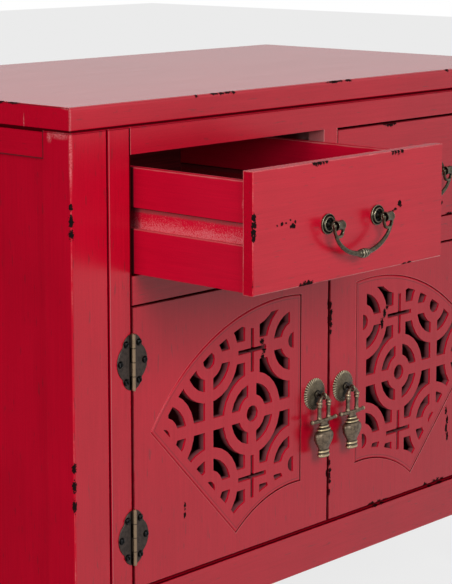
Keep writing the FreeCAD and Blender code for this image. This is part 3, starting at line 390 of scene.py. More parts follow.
@dataclass(frozen=True)
class Lacquer:
    """Old red lacquer, glossy in front and duller on the sides, pale along the edges, partly worn and partly as a
    painted highlight, with painted shade and shadow in its joints, seams and gaps, and chipped.
    """

    deep: Colour = (0.36, 0.0006, 0.0125)
    bright: Colour = (0.49, 0.0014, 0.0185)
    # pale red of worn arrises, also a painted highlight of the edges catching the light; also the painted highlight
    # line outside a fan's outline and the pale lip of a drawer's slot
    rubbed: Colour = (0.58, 0.14, 0.14)
    # near black: bare wood in chips, and painted shade in a drawer side's slot and where the side enters the case
    bare_and_shade: Colour = (0.009, 0.006, 0.006)
    # pale smudges: wear, and painted highlights along some arrises
    pale: Colour = (0.80, 0.36, 0.36)
    # painted shadow: the near black of the shadow seams
    dark: Colour = (0.014, 0.0007, 0.0012)
    # painted shade: the dark red of shaded joints, gap sides, recess walls and the line inside a fan's outline, and of
    # the stile's shadow in a drawer's slot
    groove: Colour = (0.055, 0.0004, 0.003)
    hair: Colour = (0.085, 0.014, 0.018)
    # greyish pink of dust on dusty sides, also the pale line of a painted bead highlight
    dust: Colour = (0.42, 0.17, 0.17)
    gloss: float = 0.95
    side_gloss: float = 0.06
    top_gloss: float = 0.95
    rough: float = 0.42
    rough_streaks: float = 0.16
    coat_rough: float = 0.27
    coat_ior: float = 1.5
    specular: float = 0.0
    relief: float = 0.00012
    relief_share: float = 0.6
    # width and share of the pale edges: wear, and a painted highlight of the edges catching the light
    worn_wide: float = 1.5
    worn_share: float = 0.75
    speck_scale: float = 420.0
    patch_scale: float = 26.0
    cloud_scale: float = 9.0
    fine_scale: float = 640.0
    seam_wide: float = 2.5
    joint_wide: float = 1.5
    hair_wide: float = 1.5
    # painted highlight: the distance of a bead's pale line from its joint
    bead_in: float = 3.7
    # painted highlight line just outside a fan's outline, and painted shade line a little inside it
    glint_line_out: float = 1.1
    dark_line_in: float = 4.2
    fan: Optional[Fan] = None

    def material(self, name: str, board: Board) -> bpy.types.Material:
        """The lacquer as it lies on one board.

        Args:
            name: the material's name.
            board: the board.

        Returns:
            The material.
        """
        bench = Bench(bpy.data.materials.new(name))
        place = bench.place()
        x, y, z = bench.parts(place)
        streaks = self.streaks(bench, place, board.grain)
        edge = edge_distance((x, y, z), board)
        speck = bench.noise(place, self.speck_scale, 2.0, 0.6)
        patch = bench.noise(place, self.patch_scale, 3.0, 0.6)
        colour = self.dashed(bench, place, board.grain, self.coloured(bench, place, streaks))
        # pale arrises: wear, and a painted highlight of the edges catching the light
        colour = bench.mix(self.worn(edge, patch, speck), colour, self.rubbed)
        loss = (edge + (speck - 0.5) * 3.0).step(1.6, 0.4) * patch.step(0.68, 0.73)
        loss = self.spotted(bench, place, board.chips, speck, loss)
        # pale places: wear, and painted highlights along arrises
        colour = bench.mix(self.smudged(bench, place, board.wear_and_glints, speck), colour, self.pale)
        # painted highlight and painted shade lines along a fan's outline
        colour = self.fan_glint_and_shade(bench, (x, z), speck, colour)
        colour = bench.mix(loss, colour, self.bare_and_shade)
        faces = bench.parts(bench.facing())
        leftward = (faces[0] * -1.0).step(0.35, 0.85)
        upward = faces[2].step(0.35, 0.85)
        coat = 1.0 - leftward * (1.0 - self.side_gloss) - upward * (1.0 - self.top_gloss)
        coat = coat * (1.0 - loss) * self.gloss * (0.88 + streaks * 0.24)
        if self.fan is not None:
            # painted shade: the recess walls by a fan's outline are painted dark and lose their coat
            sunk = ((y - CASE_FRONT * MM) * IN_MM).step(0.1, 0.4) * abs(self.fan.depth(x, z)).step(3.0, 1.5)
            colour = bench.mix(sunk * 0.9, colour, self.groove)
            coat = coat * (1.0 - sunk)
        # painted highlight beside a bead joint: a strip without coat and a pale line in the dust colour
        bead = side_distance((x, y, z), board, board.marks.bead)
        if bead is not None:
            colour = bench.mix(abs(bead - self.bead_in).step(0.9, 0.3) * 0.5, colour, self.dust)
            coat = coat * bead.step(2.8, 3.4)
        # painted shadow along shadow seams, painted shade along shaded joints, and thin brown hairlines
        for sides, width, tone, share in ((board.marks.shadow_seams, self.seam_wide, self.dark, 0.9),
                                          (board.marks.joints, self.joint_wide, self.groove, 0.92),
                                          (board.marks.hairs, self.hair_wide, self.hair, 0.9)):
            seam = side_distance((x, y, z), board, sides)
            if seam is not None:
                dark = (seam + (speck - 0.5) * 0.8).step(width + 0.4, width - 0.4) * (1.0 - upward)
                colour = bench.mix(dark * share, colour, tone)
                coat = coat * (1.0 - seam.step(width + 1.0, width + 0.2) * (1.0 - upward))
        # dust on dusty sides; painted shade on the faces of sides that lie in a gap
        for sides, tone, share in ((board.marks.dusty, self.dust, 0.5 + streaks * 0.5),
                                   (board.marks.gap_shade, self.groove, 0.95)):
            facing = facing_any(faces, sides)
            if facing is not None:
                colour = bench.mix(facing * share, colour, tone)
                coat = coat * (1.0 - facing)
        rough = self.rough + streaks * self.rough_streaks + loss * 0.3
        return self.finished(bench, colour, rough, coat, streaks * 0.5 + speck * 0.15 - loss * 2.0)

    def finished(self, bench: Bench, colour: Signal, rough: Signal, coat: Signal,
                 height: Signal) -> bpy.types.Material:
        """Ends the material as a stain of colour under a coat, raised by the height."""
        return bench.painted(Base_Color=colour, Roughness=rough, Coat_Weight=coat, Coat_Roughness=self.coat_rough,
                             Coat_IOR=self.coat_ior, Specular_IOR_Level=self.specular,
                             Normal=bench.bump(height, self.relief, self.relief_share))

    def worn(self, edge: Signal, patch: Signal, speck: Signal) -> Signal:
        """How far an arris is made pale, as wear and as a painted highlight of the edge catching the light, by the
        distance from it in millimetres and two noises.
        """
        ragged = edge + (patch - 0.5) * 3.0 + (speck - 0.5) * 1.2
        return ragged.step(self.worn_wide, 0.0) * self.worn_share

    def coloured(self, bench: Bench, place: Signal, streaks: Signal) -> Signal:
        """The red between its deep and its bright tone, by streaks, clouds and fine mottling."""
        fine = bench.noise(place, self.fine_scale, 2.0, 0.6)
        clouds = bench.noise(place, self.cloud_scale, 3.0)
        tone = (streaks * 0.55 + clouds * 0.4 + fine * 0.45 - 0.2).step(0.15, 0.85)
        return bench.mix(tone, self.deep, self.bright)

    def fan_glint_and_shade(self, bench: Bench, place: Sequence[Signal], speck: Signal, colour: Signal) -> Signal:
        """The colour with the lines along a fan's outline: a painted highlight just outside it and painted shade a
        little inside.
        """
        if self.fan is None:
            return colour
        inside = self.fan.depth(*place)
        colour = bench.mix(abs(inside + self.glint_line_out).step(1.1, 0.3) * (speck * 0.9), colour, self.rubbed)
        return bench.mix(abs(inside - self.dark_line_in).step(1.0, 0.2) * (0.2 + speck * 0.6), colour, self.groove)

    def dashed(self, bench: Bench, place: Signal, grain: Grain, colour: Signal) -> Signal:
        """The colour with short dark dashes of worn brush marks along the grain."""
        scale = [300.0, 300.0, 300.0]
        scale[grain.value] = 45.0
        dashes = bench.noise(bench.shaped(place, tuple(scale)), 1.0, 1.0, 0.5).step(0.68, 0.76)
        return bench.mix(dashes * 0.4, colour, self.hair)

    @staticmethod
    def spotted(bench: Bench, place: Signal, chips: Sequence[Chip], speck: Signal, loss: Value) -> Value:
        """The given share, or 1 inside one of the chips."""
        for chip in chips:
            found = spot(bench, place, chip, speck)
            loss = loss.most(found) if isinstance(loss, Signal) else found
        return loss

    @staticmethod
    def smudged(bench: Bench, place: Signal, wear_and_glints: Sequence[Chip], speck: Signal) -> Value:
        """How far lacquer is made pale, as wear and as painted highlights on arrises, fading from the middle of each
        rub.
        """
        total = 0.0
        for rub in wear_and_glints:
            reach = bench.reach(place, rub.middle, rub.half)
            total = (reach.step(1.0, 0.25) * (speck - 0.3)).most(total)
        return total

    @staticmethod
    def streaks(bench: Bench, place: Signal, grain: Grain) -> Signal:
        """Brush marks and pores that run with the grain, about 0.5, in three widths."""
        layers = []
        for across, along, detail, share in ((620.0, 14.0, 2.0, 0.5), (230.0, 7.0, 3.0, 0.38), (34.0, 2.0, 2.0, 0.12)):
            scale = [across, across, across]
            scale[grain.value] = along
            layers.append(bench.noise(bench.shaped(place, tuple(scale)), 1.0, detail, 0.6) * share)
        return ((layers[0] + layers[1] + layers[2]) - 0.5) * 1.7 + 0.5


def side_gaps(place: Sequence[Signal], board: Board, sides: Side) -> List[Signal]:
    """The distances in millimetres from a point to the given sides of a board."""
    found = []
    for axis, (low_side, high_side) in enumerate(SIDE_ORDER):
        if sides & low_side:
            found.append((place[axis] - board.low[axis]) * IN_MM)
        if sides & high_side:
            found.append((board.high[axis] - place[axis]) * IN_MM)
    return found


def side_distance(place: Sequence[Signal], board: Board, sides: Side) -> Optional[Signal]:
    """The distance in millimetres to the nearest of some sides of a board, or None if there are none."""
    found = side_gaps(place, board, sides)
    while len(found) > 1:
        found.append(found.pop().least(found.pop()))
    return found[0] if found else None


def facing_any(faces: Sequence[Signal], sides: Side) -> Optional[Signal]:
    """1 where the surface faces one of the given sides, or None if none is given."""
    total = None
    for axis, (low_side, high_side) in enumerate(SIDE_ORDER):
        for side, sign in ((low_side, -1.0), (high_side, 1.0)):
            if sides & side:
                mask = (faces[axis] * sign).step(0.5, 0.8)
                total = mask if total is None else total.most(mask)
    return total


def edge_distance(place: Sequence[Signal], board: Board) -> Signal:
    """How far a point of a board's surface is from its nearest edge that isn't quiet.

    On each axis the distance to the nearer side is the smaller of p - low and high - p. On the surface
    the least of the three is 0, and the middle one is the distance to the edge. A quiet side counts as
    a metre further out.

    Args:
        place: the point's coordinates.
        board: the board.

    Returns:
        The distance in millimetres.
    """
    gaps = []
    for axis, (low_side, high_side) in enumerate(SIDE_ORDER):
        low = board.low[axis] - (1.0 if board.marks.quiet & low_side else 0.0)
        high = board.high[axis] + (1.0 if board.marks.quiet & high_side else 0.0)
        gaps.append((place[axis] - low).least(high - place[axis]) * IN_MM)
    return gaps[0].least(gaps[1]).most(gaps[0].most(gaps[1]).least(gaps[2]))


def spot(bench: Bench, place: Signal, chip: Chip, speck: Signal) -> Signal:
    """1 inside a ragged ellipsoid about a chip and 0 outside it."""
    return (bench.reach(place, chip.middle, chip.half) + (speck - 0.5) * 2.4).step(1.08, 0.9)


@dataclass(frozen=True)
class FretLacquer(Lacquer):
    """The lacquer of the pierced panel: clean in front, greyish pink a little way into its openings, and painted
    dark deeper in as their shade.
    """

    line: Colour = (0.78, 0.002, 0.03)
    haze: Colour = (0.24, 0.085, 0.095)
    # painted shade: the near black deep in the openings
    deep_shade: Colour = (0.006, 0.001, 0.0012)
    haze_depths: Tuple[float, float] = (2.2, 3.4)
    dark_depths: Tuple[float, float] = (6.0, 13.0)

    def material(self, name: str, board: Board) -> bpy.types.Material:
        """The lacquer on a pierced panel, whose walls turn greyish pink and then are painted dark with depth, as the
        openings' shade.

        Args:
            name: the material's name.
            board: the panel.

        Returns:
            The material.
        """
        bench = Bench(bpy.data.materials.new(name))
        place = bench.place()
        x, y, z = bench.parts(place)
        streaks = self.streaks(bench, place, board.grain)
        speck = bench.noise(place, self.speck_scale, 2.0, 0.6)
        colour = self.fan_glint_and_shade(bench, (x, z), speck, self.coloured(bench, place, streaks))
        # painted shade along the shaded joint at the recess edge
        joint = side_distance((x, y, z), board, board.marks.joints)
        if joint is not None:
            colour = bench.mix(joint.step(1.8, 1.0) * 0.9, colour, self.groove)
        into = (y - CASE_FRONT * MM) * IN_MM
        wall = into.step(0.4, 1.0)
        colour = bench.mix(wall, colour, self.line)
        ragged = into + (speck - 0.5) * 2.0
        colour = bench.mix(ragged.step(*self.haze_depths) * 0.92, colour, self.haze)
        # painted shade: the walls turn near black with depth
        colour = bench.mix(ragged.step(*self.dark_depths) * 0.9, colour, self.deep_shade)
        loss = self.spotted(bench, place, board.chips, speck, 0.0)
        colour = bench.mix(loss, colour, self.bare_and_shade)
        coat = (1.0 - wall * 0.95) * (1.0 - loss) * self.gloss * (0.8 + streaks * 0.4)
        rough = self.rough + streaks * self.rough_streaks + wall * 0.3
        return self.finished(bench, colour, rough, coat, streaks * 0.5 + speck * 0.15 - loss * 2.0)


@dataclass(frozen=True)
class InsideWood:
    """Dark stained wood inside the case, with open grain."""

    deep: Colour = (0.05, 0.0014, 0.003)
    light: Colour = (0.12, 0.005, 0.009)
    dust: Colour = (0.42, 0.17, 0.17)
    dusty_to: float = -1.0

    def material(self, name: str, board: Board) -> bpy.types.Material:
        """The stain as it lies on one board.

        Args:
            name: the material's name.
            board: the board.

        Returns:
            The material.
        """
        bench = Bench(bpy.data.materials.new(name))
        place = bench.place()
        streaks = Lacquer.streaks(bench, place, board.grain)
        clouds = bench.noise(place, 9.0, 3.0)
        tone = (streaks * 0.9 + clouds * 0.4 - 0.15).step(0.25, 0.75)
        colour = bench.mix(tone, self.deep, self.light)
        reach = (bench.parts(place)[1] - self.dusty_to) * IN_MM
        colour = bench.mix(reach.step(6.0, -26.0), colour, self.dust)
        return bench.painted(Base_Color=colour, Roughness=0.62 + streaks * 0.2, Specular_IOR_Level=0.1,
                             Normal=bench.bump(streaks, 0.0003, 0.6))


@dataclass(frozen=True)
class DrawerSide(Lacquer):
    """A drawer's side: matt lacquer, with its runner's slot rubbed down to a chipped, paler red, painted shade
    under the slot's upper lip, and painted shadow of the stile by the case front.
    """

    deep: Colour = (0.43, 0.0012, 0.018)
    bright: Colour = (0.56, 0.0024, 0.026)
    slot_low: float = 0.688
    slot_high: float = 0.7155
    slot_face: float = -0.395
    slot_red: Colour = (0.60, 0.004, 0.028)
    slot_pink: Colour = (0.66, 0.13, 0.15)
    # greyish brown of the band over the top of the slot
    slot_grey_brown: Colour = (0.17, 0.068, 0.066)
    rough: float = 0.5
    specular: float = 0.03
    relief: float = 0.00015
    worn_wide: float = 1.8
    worn_share: float = 0.8
    speck_scale: float = 620.0
    grit_scale: float = 560.0

    def material(self, name: str, board: Board) -> bpy.types.Material:
        """The lacquer on the side of a drawer.

        Args:
            name: the material's name.
            board: the side.

        Returns:
            The material.
        """
        bench = Bench(bpy.data.materials.new(name))
        place = bench.place()
        x, y, z = bench.parts(place)
        streaks = self.streaks(bench, place, board.grain)
        speck = bench.noise(place, self.speck_scale, 2.0, 0.6)
        patch = bench.noise(place, self.patch_scale, 3.0, 0.6)
        fine = bench.noise(place, self.grit_scale, 2.0, 0.7)
        edge = edge_distance((x, y, z), board)
        # pale arrises: wear, and a painted highlight of the edges catching the light
        colour = bench.mix(self.worn(edge, patch, speck), self.coloured(bench, place, streaks), self.rubbed)
        high = (z - self.slot_low) * IN_MM
        down = (self.slot_high - z) * IN_MM
        ragged = (speck - 0.5) * 1.6
        band = (high + ragged).step(-0.5, 0.3) * (down + ragged).step(-0.5, 0.3)
        sunk = (abs(x - self.slot_face) * IN_MM).step(1.2, 2.4)
        rub = ((fine - 0.5) * 3.0 + (speck - 0.5) * 1.4 + (patch - 0.5) + high.step(19.0, 0.0) * 0.8).step(0.0, 1.0)
        slot_colour = bench.mix(rub, self.slot_red, self.slot_pink)
        # a greyish-brown band over the top of the slot
        dusty = (down + ragged * 2.0 + (patch - 0.5) * 4.0).step(8.5, 4.5) * (0.6 + (fine - 0.5) * 0.8)
        slot_colour = bench.mix(dusty, slot_colour, self.slot_grey_brown)
        # painted shade: a near-black band under the slot's upper lip
        slot_colour = bench.mix((down + ragged * 0.4).step(2.4, 1.2), slot_colour, self.bare_and_shade)
        ahead = (y - CASE_FRONT * MM) * IN_MM
        # painted shadow of the stile: the slot darkens towards the case front
        slot_colour = bench.mix((ahead + ragged).step(-9.0, 0.0) * 0.7, slot_colour, self.groove)
        colour = bench.mix(band * sunk.most(band * 0.4), colour, slot_colour)
        lip = (abs(high + 0.5) + ragged).step(1.2, 0.4) * (1.0 - sunk)
        colour = bench.mix(lip * 0.45, colour, self.rubbed)
        colour = bench.mix(self.smudged(bench, place, board.wear_and_glints, speck), colour, self.pale)
        # painted shade: a near-black strip where the side enters the case, in the gap by the stile
        near = ahead.step(-0.8, 0.2) * ahead.step(8.0, 7.0) * (1.0 - sunk)
        colour = bench.mix(near * 0.9, colour, self.bare_and_shade)
        coat = (1.0 - band) * self.side_gloss
        rough = self.rough + streaks * self.rough_streaks + band * 0.2
        return self.finished(bench, colour, rough, coat, streaks * 0.35 + speck * 0.3)


@dataclass(frozen=True)
class AgedMetal:
    """Cast or turned metal: bright on its crests, dark in its hollows, mottled between them."""

    body: Colour
    mottle: Colour
    hollow: Colour
    crest: Colour
    rough: float = 0.36
    scale: float = 260.0
    metallic: float = 0.85

    def material(self, name: str) -> bpy.types.Material:
        """The metal; the mesh's value "rub" is 1 on a crest and 0 in a hollow; on the pull plate, the eye's shank,
        the hinge leaves and the screw heads it also carries painted shade and painted highlights.

        Args:
            name: the material's name.

        Returns:
            The material.
        """
        bench = Bench(bpy.data.materials.new(name))
        place = bench.place()
        rub = bench.attribute("rub")
        mottle = bench.noise(place, self.scale, 3.0, 0.6, 0.4)
        fine = bench.noise(place, self.scale * 5.0, 2.0, 0.6)
        colour = bench.mix(mottle.step(0.38, 0.64), self.body, self.mottle)
        colour = bench.mix((rub + (mottle - 0.5) * 0.5).step(0.34, 0.06), colour, self.hollow)
        bright = (rub + (fine - 0.5) * 0.5 + (mottle - 0.5) * 0.3).step(0.66, 0.96)
        colour = bench.mix(bright, colour, self.crest)
        rough = self.rough + (mottle - 0.5) * 0.35 - bright * 0.08
        height = mottle * 0.5 + fine * 0.3
        return bench.painted(Base_Color=colour, Metallic=self.metallic, Roughness=rough.most(0.16),
                             Normal=bench.bump(height, 0.00025, 0.6))


ANTIQUE_BRASS = AgedMetal(body=(0.092, 0.076, 0.05), mottle=(0.046, 0.039, 0.026), hollow=(0.004, 0.0035, 0.003),
                          crest=(0.50, 0.43, 0.30), rough=0.3)
PULL_BRASS = AgedMetal(body=(0.125, 0.099, 0.064), mottle=(0.085, 0.068, 0.045), hollow=(0.010, 0.007, 0.0045),
                       crest=(0.62, 0.53, 0.36), rough=0.38)
PENDANT_BRASS = AgedMetal(body=(0.18, 0.132, 0.09), mottle=(0.092, 0.068, 0.048), hollow=(0.03, 0.022, 0.014),
                          crest=(0.52, 0.41, 0.24), rough=0.4, scale=200.0)
HINGE_BRONZE = AgedMetal(body=(0.062, 0.046, 0.039), mottle=(0.04, 0.030, 0.026), hollow=(0.001, 0.0008, 0.0006),
                         crest=(0.25, 0.175, 0.11), rough=0.5, scale=180.0, metallic=0.9)
HINGE_BRASS = AgedMetal(body=(0.48, 0.345, 0.205), mottle=(0.33, 0.235, 0.14), hollow=(0.04, 0.028, 0.016),
                        crest=(0.66, 0.52, 0.34), rough=0.36)
BLACK_SCREW = AgedMetal(body=(0.004, 0.004, 0.0042), mottle=(0.003, 0.003, 0.003), hollow=(0.001, 0.001, 0.001),
                        crest=(0.14, 0.15, 0.155), rough=0.3, metallic=0.85)


# ---------------------------------------------------------------------------------------------
# Surfaces
# ---------------------------------------------------------------------------------------------
@dataclass
class Skin:
    """Closed surfaces: points, four-sided and three-sided faces, and how rubbed each point is."""

    points: np.ndarray
    quads: np.ndarray
    tris: np.ndarray
    rub: np.ndarray

    @staticmethod
    def tube(rings: np.ndarray, rub: Optional[np.ndarray] = None, closed: bool = False) -> "Skin":
        """A surface through closed rings of points.

        Point (i, j) of the grid is rings[i, j]. Each ring is joined to the next, and its last point to its
        first. A closed tube joins its last ring to its first; an open one gets a pole in the middle of
        each end, with three-sided faces to it.

        Args:
            rings: points, shape (rings, points in a ring, 3).
            rub: how rubbed each point is, shape (rings, points in a ring); 0.5 everywhere if left out.
            closed: whether the last ring joins the first.

        Returns:
            The surface, facing outwards.
        """
        rows, cols, _ = rings.shape
        if rub is None:
            rub = np.full((rows, cols), 0.5)
        row = np.arange(rows if closed else rows - 1)[:, None]
        col = np.arange(cols)[None, :]
        after = (col + 1) % cols
        lower, upper = row * cols, ((row + 1) % rows) * cols
        quads = np.stack(np.broadcast_arrays(lower + col, lower + after, upper + after, upper + col),
                         axis=-1).reshape(-1, 4)
        points = rings.reshape(-1, 3)
        values = rub.reshape(-1)
        tris = np.zeros((0, 3), dtype=int)
        if not closed:
            count = rows * cols
            around = np.arange(cols)
            following = (around + 1) % cols
            first = np.stack([np.full(cols, count), following, around], axis=-1)
            last = np.stack([np.full(cols, count + 1), (rows - 1) * cols + around,
                             (rows - 1) * cols + following], axis=-1)
            tris = np.concatenate([first, last])
            points = np.concatenate([points, rings[0].mean(axis=0)[None], rings[-1].mean(axis=0)[None]])
            values = np.concatenate([values, [rub[0].mean(), rub[-1].mean()]])
        return Skin(points, quads, tris, values).outward()

    def outward(self) -> "Skin":
        """The same surface with its faces turned outwards, by the sign of the volume inside it."""
        corners = [self.points[self.quads[:, (0, 1, 2)]], self.points[self.quads[:, (0, 2, 3)]],
                   self.points[self.tris]]
        volume = sum(float(np.einsum("ij,ij->i", c[:, 0], np.cross(c[:, 1], c[:, 2])).sum()) for c in corners)
        if volume < 0:
            return Skin(self.points, self.quads[:, ::-1], self.tris[:, ::-1], self.rub)
        return self

    def mirrored(self) -> "Skin":
        """The surface mirrored in the plane between left and right, still facing outwards."""
        return Skin(self.points * np.array([-1.0, 1.0, 1.0]), self.quads[:, ::-1], self.tris[:, ::-1], self.rub)

    @staticmethod
    def together(skins: Sequence["Skin"]) -> "Skin":
        """Several surfaces as one."""
        starts = np.cumsum([0] + [len(skin.points) for skin in skins[:-1]])
        return Skin(np.concatenate([skin.points for skin in skins]),
                    np.concatenate([skin.quads + start for skin, start in zip(skins, starts)]),
                    np.concatenate([skin.tris + start for skin, start in zip(skins, starts)]),
                    np.concatenate([skin.rub for skin in skins]))


def curve_through(controls: Sequence[Sequence[float]], per_span: int) -> np.ndarray:
    """A smooth row of points through control points, by the Catmull-Rom rule.

    Between points b and c, with neighbours a and d, at share t the point is
    (2b + (c-a)t + (2a-5b+4c-d)t^2 + (3b-a-3c+d)t^3) / 2. The ends repeat their own point as neighbour.

    Args:
        controls: the control points, each a row of numbers.
        per_span: how many points between one control point and the next.

    Returns:
        The points, with the last control point at the end.
    """
    fixed = np.asarray(controls, dtype=float)
    a = np.concatenate([fixed[:1], fixed[:-2]])[:, None, :]
    b = fixed[:-1][:, None, :]
    c = fixed[1:][:, None, :]
    d = np.concatenate([fixed[2:], fixed[-1:]])[:, None, :]
    t = (np.arange(per_span) / per_span)[None, :, None]
    inside = (2 * b + (c - a) * t + (2 * a - 5 * b + 4 * c - d) * t ** 2 + (3 * b - a - 3 * c + d) * t ** 3) / 2
    return np.concatenate([inside.reshape(-1, fixed.shape[1]), fixed[-1:]])


def turned(profile: np.ndarray, axis: Axis, start: Vec3, sides: int, sign: float = 1.0,
           rub: Optional[np.ndarray] = None, closed: bool = False) -> Skin:
    """A turned form: radius r at height h sweeps round the axis as (r cos a, r sin a, h).

    Args:
        profile: rows of radius and height in millimetres.
        axis: the axis it is turned about.
        start: the point in millimetres where the height is 0.
        sides: how many points round it.
        sign: -1 where heights run against the axis.
        rub: how rubbed each row is.
        closed: whether the profile is a ring, as on a bored piece.

    Returns:
        The surface, in millimetres.
    """
    angle = np.linspace(0, math.tau, sides, endpoint=False)
    radius, height = profile[:, :1], profile[:, 1:2]
    one, two = radius * np.cos(angle), radius * np.sin(angle)
    along = np.broadcast_to(height * sign, one.shape)
    order = {Axis.X: (along, one, two), Axis.Y: (one, along, two), Axis.Z: (one, two, along)}[axis]
    values = None if rub is None else np.broadcast_to(rub[:, None], one.shape)
    return Skin.tube(np.stack(order, axis=-1) + np.asarray(start), values, closed)


def carried(path: np.ndarray, half_across: np.ndarray, half_deep: np.ndarray, sides: int,
            rub: Optional[np.ndarray] = None, power: float = 2.0) -> Skin:
    """A wire or band carried along a path that lies in a plane of constant y.

    At each point of the path the section is the curve |u/a|^p + |v/b|^p = 1, with u along the path's
    normal in the plane and v along y.

    Args:
        path: rows of x, y and z in millimetres.
        half_across: half width across the path in its plane, one for each point.
        half_deep: half width along y, one for each point.
        sides: how many points round the section.
        rub: how rubbed each point of the path is.
        power: p above, 2 for an ellipse and more for a squarer section.

    Returns:
        The surface, in millimetres.
    """
    run = np.gradient(path, axis=0)
    run /= np.linalg.norm(run, axis=1, keepdims=True)
    normal = np.stack([-run[:, 2], np.zeros(len(run)), run[:, 0]], axis=-1)
    angle = np.linspace(0, math.tau, sides, endpoint=False)
    shape = np.abs(np.stack([np.cos(angle), np.sin(angle)])) ** (2 / power)
    u, v = shape * np.sign(np.round(np.stack([np.cos(angle), np.sin(angle)]), 9))
    rings = (path[:, None, :] + normal[:, None, :] * (half_across[:, None] * u)[..., None]
             + np.array([0.0, 1.0, 0.0]) * (half_deep[:, None] * v)[..., None])
    values = None if rub is None else np.broadcast_to(rub[:, None], rings.shape[:2])
    return Skin.tube(rings, values)


def rounded_ends(share: np.ndarray, reach: float) -> np.ndarray:
    """A factor on a section that closes both ends of a path in a quarter circle.

    With s the share of the path from its nearer end, divided by reach, it is the root of 1 - (1 - s)^2
    where s is below 1, and 1 elsewhere.

    Args:
        share: 0 to 1 along the path.
        reach: the share that the rounding takes.

    Returns:
        The factor at each point.
    """
    near = np.clip(np.minimum(share, 1 - share) / reach, 0.0, 1.0)
    return np.sqrt(np.maximum(1 - (1 - near) ** 2, 0.0004))


def in_scene(name: str, data: Any) -> bpy.types.Object:
    """A new object of the scene that holds a mesh, a light or a camera."""
    made = bpy.data.objects.new(name, data)
    bpy.context.scene.collection.objects.link(made)
    return made


def made_piece(name: str, skin: Skin, body: str, nodes: Sequence[str],
               material: bpy.types.Material, crease: float = 38.0) -> bpy.types.Object:
    """Puts a surface into the scene in place of nodes of the frame.

    Args:
        name: the piece's name.
        skin: its surface, in millimetres.
        body: the body it rides on.
        nodes: the nodes that it stands for.
        material: its material.
        crease: the angle in degrees over which an edge stays sharp.

    Returns:
        The object.
    """
    mesh = bpy.data.meshes.new(name)
    mesh.from_pydata((skin.points * MM).tolist(), [], skin.quads.tolist() + skin.tris.tolist())
    rub = mesh.attributes.new("rub", "FLOAT", "POINT")
    rub.data.foreach_set("value", skin.rub.astype(np.float32))
    mesh.shade_smooth()
    mesh.set_sharp_from_angle(angle=math.radians(crease))
    mesh.materials.append(material)
    piece = in_scene(name, mesh)
    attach(piece, body)
    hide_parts(*nodes)
    LOG.info("%s: %d points on %s", name, len(skin.points), body)
    return piece


def node_box(node: str) -> Tuple[np.ndarray, np.ndarray]:
    """A node's low and high corner at rest, in millimetres."""
    low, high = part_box(node)
    return np.array(low) * IN_MM, np.array(high) * IN_MM


